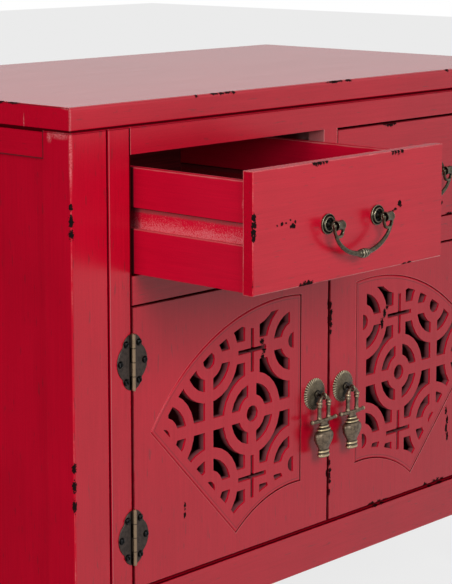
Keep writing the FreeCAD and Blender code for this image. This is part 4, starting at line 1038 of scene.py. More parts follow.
# ---------------------------------------------------------------------------------------------
# Drawer handles
# ---------------------------------------------------------------------------------------------
@dataclass
class DrawerHandle:
    """A bail between two posts with drum heads, each on a turned rosette."""

    side: str
    span: float = 99.0
    drop: float = 41.3
    bow_half: float = 58.0
    bow_end: float = 54.6
    pivot_down: float = 79.5
    pivot_out: float = 18.2
    wire: float = 3.4
    slim_wire: float = 2.2
    collar: float = 6.4
    collar_share: float = 0.185
    ribs: float = 6.0
    rib_high: float = 0.4
    prong_in: float = 8.4
    prong_up: float = 2.6
    root_down: float = 14.6
    drum: float = 6.45
    drum_half: float = 6.5
    neck: float = 3.6
    pin: float = 1.4
    rosette: Tuple[Tuple[float, float], ...] = (
        (13.25, 0.0), (13.25, 1.5), (13.0, 2.2), (12.4, 2.5), (11.8, 2.1), (11.3, 1.2), (10.8, 0.9), (10.3, 1.5),
        (9.8, 3.0), (9.2, 4.1), (8.5, 4.2), (7.9, 3.5), (7.4, 2.2), (6.8, 1.2), (5.8, 0.9), (4.6, 0.9), (3.7, 0.9))

    def build(self) -> None:
        """Makes the handle's pieces on its drawer."""
        low, high = node_box(f"drawer_{self.side}_front")
        middle = float(low[0] + high[0]) / 2
        face, top = float(low[1]), float(high[2])
        pivot = (middle, face - self.pivot_out, top - self.pivot_down)
        ends = [(middle + way * self.span / 2, pivot[1], pivot[2]) for way in (-1, 1)]
        metal = ANTIQUE_BRASS.material(f"handle_brass_{self.side}")
        drawer = f"drawer_{self.side}"
        posts = Skin.together([self.post(end, face) for end in ends])
        roses = Skin.together([self.rose((end[0], face, end[2])) for end in ends])
        for name, skin, body, node in (("bail", self.bail(pivot, ends), f"bail_{self.side}", "bail"),
                                       ("posts", posts, drawer, "handle_posts"),
                                       ("rosettes", roses, drawer, "rosettes")):
            made_piece(f"handle_{name}_{self.side}", skin, body, [f"{drawer}_{node}"], metal)

    def bail(self, pivot: Vec3, ends: Sequence[Vec3]) -> Skin:
        """The bow, the forks at its ends and the pins through them."""
        parts = [self.bow(pivot)]
        for end in ends:
            parts += [self.fork(end), self.pin_through(end)]
        return Skin.together(parts)

    def bow(self, pivot: Vec3) -> Skin:
        """The bow: part of an ellipse from root to root, with a ribbed collar in its middle.

        At share t from -1 to 1 the point is (A sin w t, -B cos w t), where A is the half width at the
        pivot's height, B the drop, and w the angle at which the bow reaches its end. The wire's radius
        falls from the middle to the ends, and the collar adds a raised cosine with ribs on it.

        Args:
            pivot: the middle of the handle's axis.

        Returns:
            The surface.
        """
        widest = math.asin(self.bow_end / self.bow_half)
        near = np.linspace(-1.0, 1.0, 361)
        share = near - 0.08 * np.sin(near * math.tau)
        angle = widest * share
        path = np.stack([pivot[0] + self.bow_half * np.sin(angle), np.full_like(angle, pivot[1]),
                         pivot[2] - self.drop * np.cos(angle)], axis=-1)
        inside = np.clip(np.abs(share) / self.collar_share, 0.0, 1.0)
        swell = (1 + np.cos(np.pi * inside)) / 2
        flat = np.clip((0.76 - inside) * 6.0, 0.0, 1.0)
        wave = np.cos(share / self.collar_share * math.tau * self.ribs / 2)
        wire = self.wire + (self.slim_wire - self.wire) * np.abs(share) ** 1.6
        wire = wire + (self.collar - self.rib_high - self.wire) * swell ** 0.7 + self.rib_high * wave * flat
        rub = np.clip(0.46 + 0.42 * wave * flat, 0.0, 1.0)
        return carried(path, wire, wire, 22, rub)

    def fork(self, end: Vec3) -> Skin:
        """A flat band bent into a U round a post's head, thicker where the bow grows out of it.

        Above the bend the band is straight. Below it the path is |x/a|^2.3 + |z/b|^2.3 = 1.

        Args:
            end: the pivot at this end.

        Returns:
            The surface.
        """
        bend = 3.0
        turn = np.linspace(0.0, math.pi, 49)
        x = -self.prong_in * np.sign(np.cos(turn)) * np.abs(np.cos(turn)) ** (2 / 2.3)
        z = -bend - (self.root_down - bend) * np.abs(np.sin(turn)) ** (2 / 2.3)
        rise = np.linspace(self.prong_up, -bend, 15)[:-1]
        x = np.concatenate([np.full(14, -self.prong_in), x, np.full(14, self.prong_in)])
        z = np.concatenate([rise, z, rise[::-1]])
        path = np.stack([end[0] + x, np.full_like(x, end[1]), end[2] + z], axis=-1)
        share = np.linspace(0.0, 1.0, len(x))
        close = rounded_ends(share, 0.07)
        eye = np.exp(-(z / 3.2) ** 2)
        root = np.exp(-((z + self.root_down) / 2.2) ** 2)
        thick = (1.35 + 0.55 * root) * np.minimum(close * 1.15, 1.0)
        deep = (2.3 + 0.9 * eye + 0.6 * root) * close
        rub = np.clip(0.42 + 0.25 * eye + 0.3 * root, 0.0, 1.0)
        return carried(path, thick, deep, 20, rub, 3.0)

    def pin_through(self, end: Vec3) -> Skin:
        """A pin with a domed head at each end, turned about the pivot."""
        reach = self.prong_in + 2.0
        half = [(0.4, reach), (1.5, reach - 0.25), (2.0, reach - 0.75), (1.4, reach - 0.9), (self.pin, 0.0)]
        profile = np.array(half + [(r, -h) for r, h in half[-2::-1]])
        return turned(profile, Axis.X, end, 20, rub=np.full(len(profile), 0.7))

    def post(self, end: Vec3, face: float) -> Skin:
        """A turned neck that flares from the front to a bored drum with dished ends."""
        long = face - end[1]
        neck = curve_through([(self.neck, -9.0), (self.neck, -1.0), (5.2, 0.6), (4.6, 2.2), (3.3, 4.2), (2.9, 6.4),
                              (3.4, 9.0), (4.8, 11.6), (5.9, 13.2), (5.4, long - 3.2)], 4)
        rub = np.clip(0.1 + 0.5 * (neck[:, 1] - 4.0) / 8.0, 0.0, 0.75)
        shank = turned(neck, Axis.Y, (end[0], face, end[2]), 28, -1.0, rub)
        bore, high, half = self.pin + 0.06, self.drum, self.drum_half
        wall = curve_through([(bore, 3.0), (3.6, 3.2), (4.9, 4.6), (5.5, half - 0.5), (6.0, half), (6.4, half - 0.1),
                              (high, half - 0.9), (high - 0.15, half - 2.2), (high - 0.5, half - 4.2),
                              (high - 0.55, 0.0)], 4)
        profile = np.concatenate([wall, np.stack([wall[-2::-1, 0], -wall[-2::-1, 1]], axis=-1)])
        rim = np.exp(-((np.abs(profile[:, 1]) - half + 0.3) / 0.8) ** 2) * (profile[:, 0] > 5.6)
        values = np.clip(np.where(profile[:, 0] < 5.6, 0.0, 0.5) + 0.26 * rim, 0.0, 1.0)
        return Skin.together([shank, turned(profile, Axis.X, end, 32, rub=values, closed=True)])

    def rose(self, middle: Vec3) -> Skin:
        """The rosette: a disc with a rim, a groove, a raised ring and a hollow, turned about y."""
        profile = curve_through(self.rosette, 4)
        crest = np.exp(-((profile[:, 0] - 9.2) / 0.45) ** 2) + np.exp(-((profile[:, 0] - 13.0) / 0.35) ** 2)
        well = np.exp(-((profile[:, 0] - 11.0) / 0.6) ** 2) + (profile[:, 0] < 7.9)
        return turned(profile, Axis.Y, middle, 64, -1.0, np.clip(0.32 + crest * 0.5 - well * 0.6, 0.0, 1.0))


# ---------------------------------------------------------------------------------------------
# Door pulls
# ---------------------------------------------------------------------------------------------
@dataclass
class DoorPull:
    """A domed and fluted plate, an eye through it, and a pendant that hangs in the eye."""

    side: str
    plate: float = 23.2
    notch: float = 1.6
    flutes: int = 36
    flute_deep: float = 0.7
    eye_out: float = 18.0
    eye: float = 5.5
    eye_hole: float = 2.6
    eye_half: float = 1.5
    shank: float = 2.4
    loop_half: float = 10.0
    loop_wire: float = 1.9
    leg_wire: float = 2.8
    bar_down: float = 35.5
    bar_reach: float = 28.3
    bar_wire: float = 2.9
    curl: float = 1.5
    vase: Tuple[Tuple[float, float], ...] = (
        (35.5, 7.6), (38.0, 7.4), (40.6, 7.6), (42.2, 9.2), (43.4, 10.4), (44.4, 10.0), (45.3, 8.7), (46.1, 9.4),
        (47.0, 12.4), (47.9, 13.6), (48.9, 13.2), (49.7, 11.8), (50.8, 13.4), (53.0, 16.8), (56.0, 18.2),
        (59.0, 18.4), (63.0, 17.6), (67.5, 15.4), (72.0, 12.4), (75.5, 10.2), (77.6, 9.5), (78.6, 10.4), (79.8, 11.3),
        (81.2, 11.0), (82.3, 9.9), (83.4, 10.5), (84.8, 11.7), (86.6, 11.6), (87.9, 10.8), (88.6, 8.6))
    flat: float = 20.0 / 37.0
    beads: Tuple[float, ...] = (43.7, 48.2, 80.1, 85.9)
    grooves: Tuple[float, ...] = (41.3, 45.5, 50.0, 77.4, 82.5)

    def build(self) -> None:
        """Makes the pull's pieces on its door."""
        low, high = node_box(f"door_{self.side}_pull_plate")
        middle = (float(low[0] + high[0]) / 2, float(high[1]), float(low[2] + high[2]) / 2)
        pivot = (middle[0], middle[1] - self.eye_out, middle[2])
        metal = PULL_BRASS.material(f"pull_brass_{self.side}")
        cast = PENDANT_BRASS.material(f"pendant_brass_{self.side}")
        door = f"door_{self.side}"
        hanging = f"pendant_{self.side}"
        for name, skin, body, node, brass in (
                ("plate", self.dome(middle), door, f"{door}_pull_plate", metal),
                ("eye", self.eye_bolt(middle, pivot), door, f"{door}_pull_eye", metal),
                ("pendant", self.pendant(pivot), hanging, hanging, cast)):
            made_piece(f"pull_{name}_{self.side}", skin, body, [node], brass)

    def dome(self, middle: Vec3) -> Skin:
        """The plate: a low dome with flutes over its outer part and a notch at the end of each.

        At share s of the radius and angle a, the radius is R s less a notch where cos(n a) is low, and the
        height is the dome's less the flute's depth times (1 - cos(n a)) / 2, which fades in from s = 0.5.

        Args:
            middle: the middle of the plate's back.

        Returns:
            The surface.
        """
        levels = curve_through([(0.985, 0.0, 1.0), (1.0, 0.45, 1.0), (1.0, 0.95, 1.0), (0.975, 1.25, 1.0),
                                (0.93, 1.45, 1.0), (0.86, 2.15, 0.85), (0.78, 3.05, 0.45), (0.68, 4.05, 0.15),
                                (0.58, 4.75, 0.0), (0.46, 5.35, 0.0), (0.32, 5.75, 0.0), (0.18, 5.95, 0.0),
                                (0.05, 6.0, 0.0)], 4)
        angle = np.linspace(0.0, math.tau, self.flutes * 8, endpoint=False)
        wave = (1 - np.cos(self.flutes * angle)) / 2
        share, high, fade = (levels[:, index:index + 1] for index in range(3))
        valley = np.clip(fade, 0.0, 1.0) * wave ** 1.5
        radius = self.plate * share - self.notch * np.clip((share - 0.8) / 0.2, 0.0, 1.0) * wave ** 2
        height = high - self.flute_deep * valley
        rings = np.stack([middle[0] + radius * np.cos(angle), middle[1] - np.maximum(height, 0.0),
                          middle[2] + radius * np.sin(angle)], axis=-1)
        # painted shade: the plate darkens towards its lower right, and its middle round the shank is dark
        shade = np.clip(0.25 + 0.55 * np.cos(angle + 0.9), 0.0, 0.7) * np.clip(1.25 - share, 0.0, 1.0)
        rub = np.clip(0.5 + 0.36 * np.clip(fade, 0, 1) - 0.75 * valley - shade - 0.5 * (share < 0.3), 0.0, 1.0)
        return Skin.tube(rings, rub)

    def eye_bolt(self, middle: Vec3, pivot: Vec3) -> Skin:
        """The eye, a ring about x, and its turned shank with a collar on the plate."""
        turn = np.linspace(0.0, math.tau, 14, endpoint=False)
        mean, half = (self.eye + self.eye_hole) / 2, (self.eye - self.eye_hole) / 2
        section = np.stack([mean + half * np.cos(turn), self.eye_half * np.sin(turn)], axis=-1)
        ring = turned(section, Axis.X, pivot, 32, rub=np.clip(0.42 + 0.36 * np.cos(turn), 0.0, 1.0), closed=True)
        reach = self.eye_out - self.eye + 0.7
        profile = curve_through([(self.shank, -10.0), (self.shank, 4.6), (4.4, 5.6), (4.9, 6.4), (4.2, 7.3),
                                 (2.9, 7.9), (2.2, 9.2), (2.0, reach)], 4)
        # painted shade: the shank and its collar are kept dark
        rub = np.clip(0.02 + 0.06 * (profile[:, 0] - 2.0), 0.0, 0.2)
        return Skin.together([ring, turned(profile, Axis.Y, middle, 22, -1.0, rub)])

    def pendant(self, pivot: Vec3) -> Skin:
        """The loop with knobs on its shoulders, the cross bar and the vase."""
        return Skin.together([self.loop(pivot), self.bar(pivot), self.body(pivot)])

    def loop(self, pivot: Vec3) -> Skin:
        """A cast loop: two thick legs with knobs on their shoulders, and half a circle over them."""
        half, down = self.loop_half, self.bar_down
        turn = np.linspace(math.pi, 0.0, 61)
        rise = np.linspace(down, half, 61)[:-1]
        x = np.concatenate([np.full(60, -half), half * np.cos(turn), np.full(60, half)])
        d = np.concatenate([rise, half - half * np.sin(turn), rise[::-1]])
        path = np.stack([pivot[0] + x, np.full_like(x, pivot[1]), pivot[2] - d], axis=-1)
        knob = np.exp(-((d - half + 1.0) / 1.9) ** 2) + 0.9 * np.exp(-((d - half - 3.6) / 1.5) ** 2)
        foot = np.exp(-((d - down + 4.6) / 1.7) ** 2)
        leg = np.clip((d - 0.6) / 3.5, 0.0, 1.0)
        wire = self.loop_wire + (self.leg_wire - self.loop_wire) * leg
        wire = wire + 1.5 * knob + 0.7 * foot
        rub = np.clip(0.4 + 0.42 * knob + 0.42 * foot - 0.2 * (1 - leg), 0.0, 1.0)
        return carried(path, wire, wire * 1.02, 18, rub)

    def bar(self, pivot: Vec3) -> Skin:
        """The cross bar: a rod whose ends rise a little into small balls.

        At share t of its reach the rod has risen by the curl times t^2, and its radius falls to t = 0.8
        and swells again in the ball.
        """
        turn = np.linspace(-1.0, 1.0, 141)
        share = np.sin(turn * math.pi / 2) * 0.4 + turn * 0.6
        x = self.bar_reach * share
        path = np.stack([pivot[0] + x, np.full_like(x, pivot[1]), pivot[2] - self.bar_down + self.curl * share ** 2],
                        axis=-1)
        far = np.abs(share)
        ball = np.exp(-((far - 0.91) / 0.085) ** 2)
        ring = np.exp(-((far - 0.56) / 0.05) ** 2)
        wire = self.bar_wire - 1.0 * far ** 2 + 1.0 * ball + 0.5 * ring
        wire = wire * rounded_ends((turn + 1) / 2, 0.045)
        rub = np.clip(0.4 + 0.42 * ball + 0.2 * ring, 0.0, 1.0)
        return carried(path, wire, wire, 18, rub)

    def body(self, pivot: Vec3) -> Skin:
        """The flattened vase under its ringed neck: the half width w and the half depth w times flat."""
        profile = curve_through(self.vase, 4)
        down, wide = profile[:, :1], profile[:, 1:2]
        angle = np.linspace(0.0, math.tau, 40, endpoint=False)
        rings = np.stack(np.broadcast_arrays(pivot[0] + wide * np.cos(angle),
                                             pivot[1] + wide * self.flat * np.sin(angle), pivot[2] - down), axis=-1)
        bead = sum(np.exp(-((down - at) / 1.15) ** 2) for at in self.beads)
        groove = sum(np.exp(-((down - at) / 0.7) ** 2) for at in self.grooves)
        rub = np.clip(0.4 + 0.9 * bead - 0.55 * groove, 0.0, 1.0)
        return Skin.tube(rings, np.broadcast_to(rub, rings.shape[:2]))


# ---------------------------------------------------------------------------------------------
# Hinges
# ---------------------------------------------------------------------------------------------
@dataclass
class Hinges:
    """The four surface hinges: lobed leaves, knuckles, pins and screws."""

    axis_x: float = 397.0
    face: float = CASE_FRONT
    axis_out: float = 3.0
    heights: Tuple[float, float] = (515.5, 282.0)
    lobe: float = 27.0
    end_lobe: float = 17.0
    step: float = 20.0
    thick: float = 1.5
    barrel: float = 2.75
    clear: float = 0.5
    play: float = 0.4
    pin: float = 1.5
    # the outer radius of the painted contact-shadow ring round a screw head
    screw: float = 4.9
    screw_high: float = 2.3
    screw_far: float = 22.0
    screw_near: float = 11.5
    screw_up: float = 24.7

    def build(self) -> None:
        """Makes the hinges' pieces on the frame and on both doors."""
        bronze, brass, black = (metal.material(name) for name, metal in (
            ("hinge_bronze", HINGE_BRONZE), ("hinge_brass", HINGE_BRASS), ("hinge_screw_black", BLACK_SCREW)))
        frame_leaves, leaves = (Skin.together([self.leaf(z, way) for z in self.heights]) for way in (-1, 1))
        frame_screws, screws = (Skin.together([self.screws(z, way) for z in self.heights]) for way in (-1, 1))
        pins = Skin.together([self.pin_in(z) for z in self.heights])
        rows = [("leaves_frame", both_sides(frame_leaves), "carcass", "hinge_frame_leaves", "hinge_bronze", bronze),
                ("pins_all", both_sides(pins), "carcass", "hinge_pins", "hinge_brass", brass),
                ("screws_frame", both_sides(frame_screws), "carcass", "hinge_frame_screws", "black_screw", black)]
        for side, leaf, screw in (("left", leaves, screws), ("right", leaves.mirrored(), screws.mirrored())):
            door = f"door_{side}"
            rows += [(f"leaves_{door}", leaf, door, f"{door}_hinge_leaves", "hinge_bronze", bronze),
                     (f"screws_{door}", screw, door, f"{door}_hinge_screws", "black_screw", black)]
        for name, skin, body, node, slot, metal in rows:
            made_piece(f"hinge_{name}", skin, body, [node], metal)

    def leaf(self, z: float, way: int) -> Skin:
        """A leaf with its knuckles.

        Its outline at height h from the middle is the farthest of three circles, the largest of
        root(r^2 - (h - c)^2) over centres c of -step, 0 and step.

        Args:
            z: the hinge's middle.
            way: -1 for the leaf on the frame and 1 for the one on the door.

        Returns:
            The surface, on the left-hand side.
        """
        inner = self.barrel + self.clear
        tongue = 0.1 if way < 0 else inner - 0.1
        top = self.step + math.sqrt(self.end_lobe ** 2 - (inner + 0.8) ** 2)
        turn = np.linspace(-1.0, 1.0, 121)
        h = top * np.sin(turn * np.pi / 2) * 0.35 + top * turn * 0.65
        lobes = [np.sqrt(np.maximum(radius ** 2 - (h - centre) ** 2, 0.0))
                 for radius, centre in ((self.end_lobe, -self.step), (self.lobe, 0.0), (self.end_lobe, self.step))]
        wide = np.maximum(np.max(lobes, axis=0), inner + 0.8)
        rim = np.array([(0.0, 0.0), (0.0, 0.7), (0.28, 1.2), (0.8, 1.5), (1.5, 1.42), (2.4, 1.38)])
        near = np.array([inner + 3.2, inner + 1.7, inner, tongue] if way < 0 else [inner + 1.2, inner, inner, tongue])
        edge = np.broadcast_to(near, (len(h), 4))
        x = np.concatenate([np.full((len(h), 1), tongue), wide[:, None] - rim[:, 0] * np.clip(
            (wide[:, None] - inner) / 3.4, 0.1, 1.0), np.minimum(edge, wide[:, None] - 0.3)], axis=1)
        out = np.broadcast_to(np.concatenate([[0.0], rim[:, 1], [1.4, 1.3, 0.15, 0.15]]), x.shape)
        # painted shadow: the strip by the knuckles is set to 0, dark, as the shadow beside the barrel
        rub = np.broadcast_to(np.array([0.0, 0.3, 0.55, 0.62, 0.6, 0.45, 0.4, 0.35, 0.0, 0.0, 0.0]), x.shape)
        rings = np.stack([-self.axis_x + way * x, self.face - out, np.broadcast_to((z + h)[:, None], x.shape)],
                         axis=-1)
        parts = [Skin.tube(rings, rub)]
        half_high = self.step + self.end_lobe
        long = (half_high * 2 - self.play * 3) / 4
        for number in ((0, 2) if way < 0 else (1, 3)):
            low = z + half_high - (long + self.play) * number - long
            parts += [self.knuckle(low, long), self.web(low, long, way, inner)]
        return Skin.together(parts)

    def knuckle(self, low: float, long: float) -> Skin:
        """One bored knuckle with eased ends, turned about the hinge's axis."""
        bore = self.pin + 0.08
        wall = [(bore, 0.0), (self.barrel - 0.35, 0.0), (self.barrel, 0.4), (self.barrel, long / 2),
                (self.barrel, long - 0.4), (self.barrel - 0.35, long), (bore, long)]
        profile = np.array(wall)
        rub = np.array([0.1, 0.5, 1.0, 0.92, 1.0, 0.5, 0.1])
        return turned(profile, Axis.Z, (-self.axis_x, self.face - self.axis_out, low), 24, rub=rub, closed=True)

    def web(self, low: float, long: float, way: int, inner: float) -> Skin:
        """The strip that joins a knuckle to its leaf, a thin squared bar."""
        across = np.array([self.pin + 0.2, inner + 0.6]) * way - self.axis_x
        deep = np.array([self.face - self.thick + 0.15, self.face])
        x = np.array([across[0], across[1], across[1], across[0]])
        y = np.array([deep[0], deep[0], deep[1], deep[1]])
        high = np.array([low + 0.2, low + long - 0.2])[:, None]
        rings = np.stack(np.broadcast_arrays(x[None, :], y[None, :], high), axis=-1)
        return Skin.tube(rings)

    def pin_in(self, z: float) -> Skin:
        """The pin, with a low domed end."""
        half = self.step + self.end_lobe
        side = [(0.3, half + 0.9), (1.4, half + 0.75), (2.1, half + 0.45), (2.3, half + 0.1), (self.pin, half - 0.05),
                (self.pin, 0.0)]
        profile = np.array(side + [(r, -h) for r, h in side[-2::-1]])
        return turned(profile, Axis.Z, (-self.axis_x, self.face - self.axis_out, z), 20,
                      rub=np.full(len(profile), 0.7))

    def screws(self, z: float, way: int) -> Skin:
        """The heads of the three screws in one leaf."""
        spots = ((self.screw_near, self.screw_up, 0.4), (self.screw_far, 0.0, 1.3),
                 (self.screw_near, -self.screw_up, 2.2))
        return Skin.together([self.head((-self.axis_x + out * way, self.face - self.thick + 0.1, z + up), lean)
                              for out, up, lean in spots])

    def head(self, middle: Vec3, lean: float) -> Skin:
        """A domed head with a rim and a slot, in a flat dark ring that is a painted contact shadow round it.

        At share s of the dome's radius the height is H (1 - 0.5 s^4) less a shallow dish in the middle, and
        less the slot's depth where the distance from the slot's line is under its half width.

        Args:
            middle: the middle of its underside.
            lean: the slot's angle in radians.

        Returns:
            The surface.
        """
        share = np.array([1.2, 1.2, 1.02, 1.0, 0.99, 0.95, 0.88, 0.78, 0.66, 0.55, 0.44, 0.32, 0.2, 0.08])[:, None]
        angle = np.linspace(0.0, math.tau, 36, endpoint=False)[None, :]
        across, up = (self.screw / 1.2 * share * wave(angle) for wave in (np.cos, np.sin))
        off = np.abs(across * math.sin(lean) - up * math.cos(lean))
        slot = np.clip((0.75 - off) / 0.2, 0.0, 1.0) * (share < 0.9)
        dish = 0.5 * np.clip((0.6 - share) / 0.2, 0.0, 1.0)
        high = (self.screw_high + 0.1) * (1 - 0.5 * np.minimum(share, 1.0) ** 4) - dish - 0.9 * slot
        high = np.where(share > 1.01, 0.16, high)
        high = np.concatenate([np.zeros((1, high.shape[1])), high[1:]])
        rings = np.stack(np.broadcast_arrays(middle[0] + across, middle[1] - np.maximum(high, 0.0),
                                             middle[2] + up), axis=-1)
        # painted highlight: a bright ring at 0.6 of the dome's radius; the rim and the flat ring are 0, dark, the ring
        # as painted contact shadow
        rub = np.clip(0.2 + 0.8 * np.exp(-((share - 0.6) / 0.1) ** 2) - 0.9 * slot - dish, 0.0, 1.0)
        return Skin.tube(rings, rub * (share < 0.97))


def both_sides(skin: Skin) -> Skin:
    """A left-hand surface and its mirror image as one."""
    return Skin.together([skin, skin.mirrored()])


# ---------------------------------------------------------------------------------------------
# Boards
# ---------------------------------------------------------------------------------------------
def chips_at(rows: Sequence[Row]) -> Tuple[Chip, ...]:
    """Chips from rows of x, y, z and half sizes in millimetres."""
    return tuple(Chip((x * MM, y * MM, z * MM), (a * MM, b * MM, c * MM)) for x, y, z, a, b, c in rows)


def on_front(y: float, deep: float, *spots: Tuple[float, float, float, float]) -> Tuple[Row, ...]:
    """Rows for chips on a front at y, half a depth deep, from spots of x, z, half width and half height."""
    return tuple((x, y, z, wide, deep, high) for x, z, wide, high in spots)


@dataclass
class Boards:
    """Every board of the case, the doors and the drawers with its finish.

    A right-hand board that the table of marks leaves out has the marks of its left-hand twin, mirrored.
    """

    tenon: float = 20.0
    partition_dusty_to: float = -0.11
    lacquered: Dict[Grain, Tuple[str, ...]] = field(default_factory=lambda: {
        Grain.ACROSS: ("top_board", "top_rail", "mid_rail", "bottom_rail", "rear_rail_top", "rear_rail_bottom",
                       "drawer_left_front", "drawer_right_front"),
        Grain.FRONT_TO_BACK: ("side_rail_top_left", "side_rail_top_right", "side_rail_bottom_left",
                              "side_rail_bottom_right"),
        Grain.UPRIGHT: ("post_front_left", "post_front_right", "post_rear_left", "post_rear_right", "stile_left",
                        "stile_right", "drawer_divider", "side_panel_left", "side_panel_right", "back_panel")})
    inside: Dict[Grain, Tuple[str, ...]] = field(default_factory=lambda: {
        Grain.ACROSS: ("floor_panel", "shelf", "door_stop", "drawer_left_back", "drawer_right_back"),
        Grain.FRONT_TO_BACK: ("shelf_cleats", "drawer_partition", "drawer_runners", "drawer_left_bottom",
                              "drawer_right_bottom")})
    # marks of each board: shadow seams, shaded joints and gap-shade sides are painted shadow and shade, beads painted
    # highlights
    marks: Dict[str, Marks] = field(default_factory=lambda: {
        "top_board": Marks(quiet=Side.UNDER | Side.TOP | Side.FRONT, shadow_seams=Side.UNDER, hairs=Side.TOP),
        "post_front_left": Marks(quiet=Side.TOP | Side.RIGHT, shadow_seams=Side.TOP, joints=Side.RIGHT, gap_shade=Side.REAR),
        "post_rear_left": Marks(quiet=Side.TOP | Side.FRONT, shadow_seams=Side.TOP),
        "stile_left": Marks(quiet=Side.EDGES, shadow_seams=Side.TOP | Side.RIGHT, joints=Side.LEFT, bead=Side.LEFT,
                            gap_shade=Side.REAR),
        "top_rail": Marks(quiet=Side.TOP | Side.UNDER, shadow_seams=Side.TOP, gap_shade=Side.REAR),
        "mid_rail": Marks(quiet=Side.EDGES, hairs=Side.LEFT | Side.RIGHT),
        "bottom_rail": Marks(quiet=Side.LEFT | Side.RIGHT | Side.TOP, shadow_seams=Side.TOP, hairs=Side.LEFT | Side.RIGHT),
        "rear_rail_top": Marks(quiet=Side.TOP, shadow_seams=Side.TOP),
        "side_rail_top_left": Marks(quiet=Side.TOP | Side.UNDER | Side.FRONT | Side.REAR, shadow_seams=Side.TOP,
                                    hairs=Side.UNDER | Side.FRONT, gap_shade=Side.RIGHT),
        "side_rail_bottom_left": Marks(quiet=Side.FRONT | Side.REAR),
        "side_panel_left": Marks(gap_shade=Side.RIGHT),
        "drawer_divider": Marks(quiet=Side.TOP | Side.UNDER, dusty=Side.LEFT | Side.RIGHT),
        "drawer_right_front": Marks(quiet=Side.LEFT | Side.TOP, gap_shade=Side.EDGES),
        "drawer_left_side_outer": Marks(quiet=Side.FRONT | Side.UNDER),
        "door_left_board": Marks(gap_shade=Side.EDGES),
        "door_left_fretwork": Marks(joints=Side.RIGHT)})
    # pale places: wear, and painted highlights along the arrises of the top board and the front post
    wear_and_glints: Dict[str, Tuple[Row, ...]] = field(default_factory=lambda: {
        "top_board": ((-500, CASE_FRONT, 835, 3, 3, 40), (-500, -158, 849, 4, 12, 3), (-500, -80.5, 828, 4, 1.4, 12)),
        "post_front_left": ((-500, -146, 815, 5, 24, 7), (-500, -127, 812, 5, 6, 10), (-500, -103, 480, 3, 2, 900),
                            (-500, CASE_FRONT, 790, 5, 4, 60)),
        "drawer_left_side_outer": ((-392, -352, 738, 5, 4, 8),)})
    chips: Dict[str, Tuple[Row, ...]] = field(default_factory=lambda: {
        "post_front_left": ((-500, CASE_FRONT, 727, 3, 3.4, 5), (-500, CASE_FRONT, 709, 4, 4.4, 8),
                            (-500, CASE_FRONT, 693, 4.4, 5, 6.5), (-500, CASE_FRONT, 396, 3.6, 4.2, 7),
                            (-500, CASE_FRONT, 372, 4, 4.6, 8), (-500, CASE_FRONT, 347, 3.6, 4.2, 9)),
        "top_board": ((-500, -37, 850, 3, 7, 3), (-500, -61, 850, 3, 11, 2.6)) + on_front(
            CASE_FRONT, 4, (-275, 850, 3, 4), (-240, 850, 8, 2.6), (-226, 850, 6, 3.2), (-213, 850, 9, 2.6),
            (-203, 850, 4, 4), (10, 850, 20, 3), (40, 850, 8, 3.4), (275, 850, 5, 3.4)),
        "drawer_left_front": on_front(
            DRAWER_FRONT, 3, (-394, 724, 4, 5), (-394, 715, 4.2, 5.5), (-394, 706, 3.8, 4.6), (-394.5, 699, 3.6, 4.6),
            (-283, 779, 2.6, 3.4), (-278.5, 779, 2.8, 3.8), (-274, 779, 2.6, 3.2), (-270, 779, 2.4, 3.4),
            (-264.5, 779, 2.2, 3), (-258, 780, 4.4, 2.8), (-124, 779, 3, 3), (-118, 779, 3, 3.2), (-112, 778, 3, 4),
            (-104, 779, 3, 4), (-306, 629, 4, 3), (-299, 630, 4, 4.2), (-292, 630, 4, 4.6), (-286, 629, 4, 3.6),
            (-97, 628, 5, 2.4), (-86, 628, 6, 2.4)) + on_front(
            DRAWER_FRONT, 2, (-352, 709.7, 1.6, 1.3), (-343.6, 710.5, 2.6, 2.6), (-334.9, 711, 1.5, 1.2),
            (-322.8, 705.8, 5.6, 3.2), (-317.9, 710.4, 2, 2.2), (-326.6, 713.6, 1.8, 1.3), (-108, 709.4, 4, 4),
            (-117, 703.4, 3, 2), (-123, 701.6, 2.4, 1.6)),
        "drawer_right_front": on_front(
            CASE_FRONT, 3, (124, 780, 4, 3), (131, 779, 5, 3.6), (139, 779, 5, 4.4), (147, 780, 5, 3.4)) + on_front(
            CASE_FRONT, 2, (265, 648, 4, 3)) + on_front(CASE_FRONT, 3, (285, 629, 8, 2.6)),
        "door_left_board": on_front(
            CASE_FRONT, 3, (-2, 531, 2.5, 7), (-2, 508, 2.2, 5), (-2, 282, 2.6, 6), (-299.5, 303, 2, 3.4),
            (-299.5, 297, 1.6, 2), (-299.6, 289, 2.2, 4)),
        "door_right_board": on_front(
            CASE_FRONT, 3, (3, 529, 3, 5), (4, 519, 3.6, 4), (3, 510, 3, 6), (4, 501, 3.6, 4), (3, 490, 3, 4),
            (2.5, 296, 3, 5), (4.5, 285, 3.6, 3), (3, 277, 3, 6), (4, 268, 3.4, 3), (2.5, 253, 3, 5), (98, 211, 5, 3),
            (105, 211, 4, 4.6), (121, 211, 5, 3.6), (135, 211, 7, 3), (236, 211, 5, 4.4), (259, 211, 6, 4),
            (268, 211, 5, 5), (279, 211, 6, 3.6), (287.5, 319, 2.6, 7), (290.6, 304, 3, 6), (288.4, 291, 3, 8),
            (291.4, 278, 2.4, 7)),
        "bottom_rail": on_front(
            CASE_FRONT, 3, (112, 208, 6, 3), (128, 208, 5, 2.6), (247, 208, 6, 2.6), (273, 208, 7, 3)),
        "door_left_fretwork": on_front(
            CASE_FRONT, 4, (-145, 501, 4, 4.4), (-140.5, 490, 4, 6), (-143.5, 479, 3.4, 5)),
        "door_right_fretwork": on_front(
            CASE_FRONT, 4, (123, 484, 3.6, 8), (129, 498, 3.6, 7), (135, 507, 3, 4))})

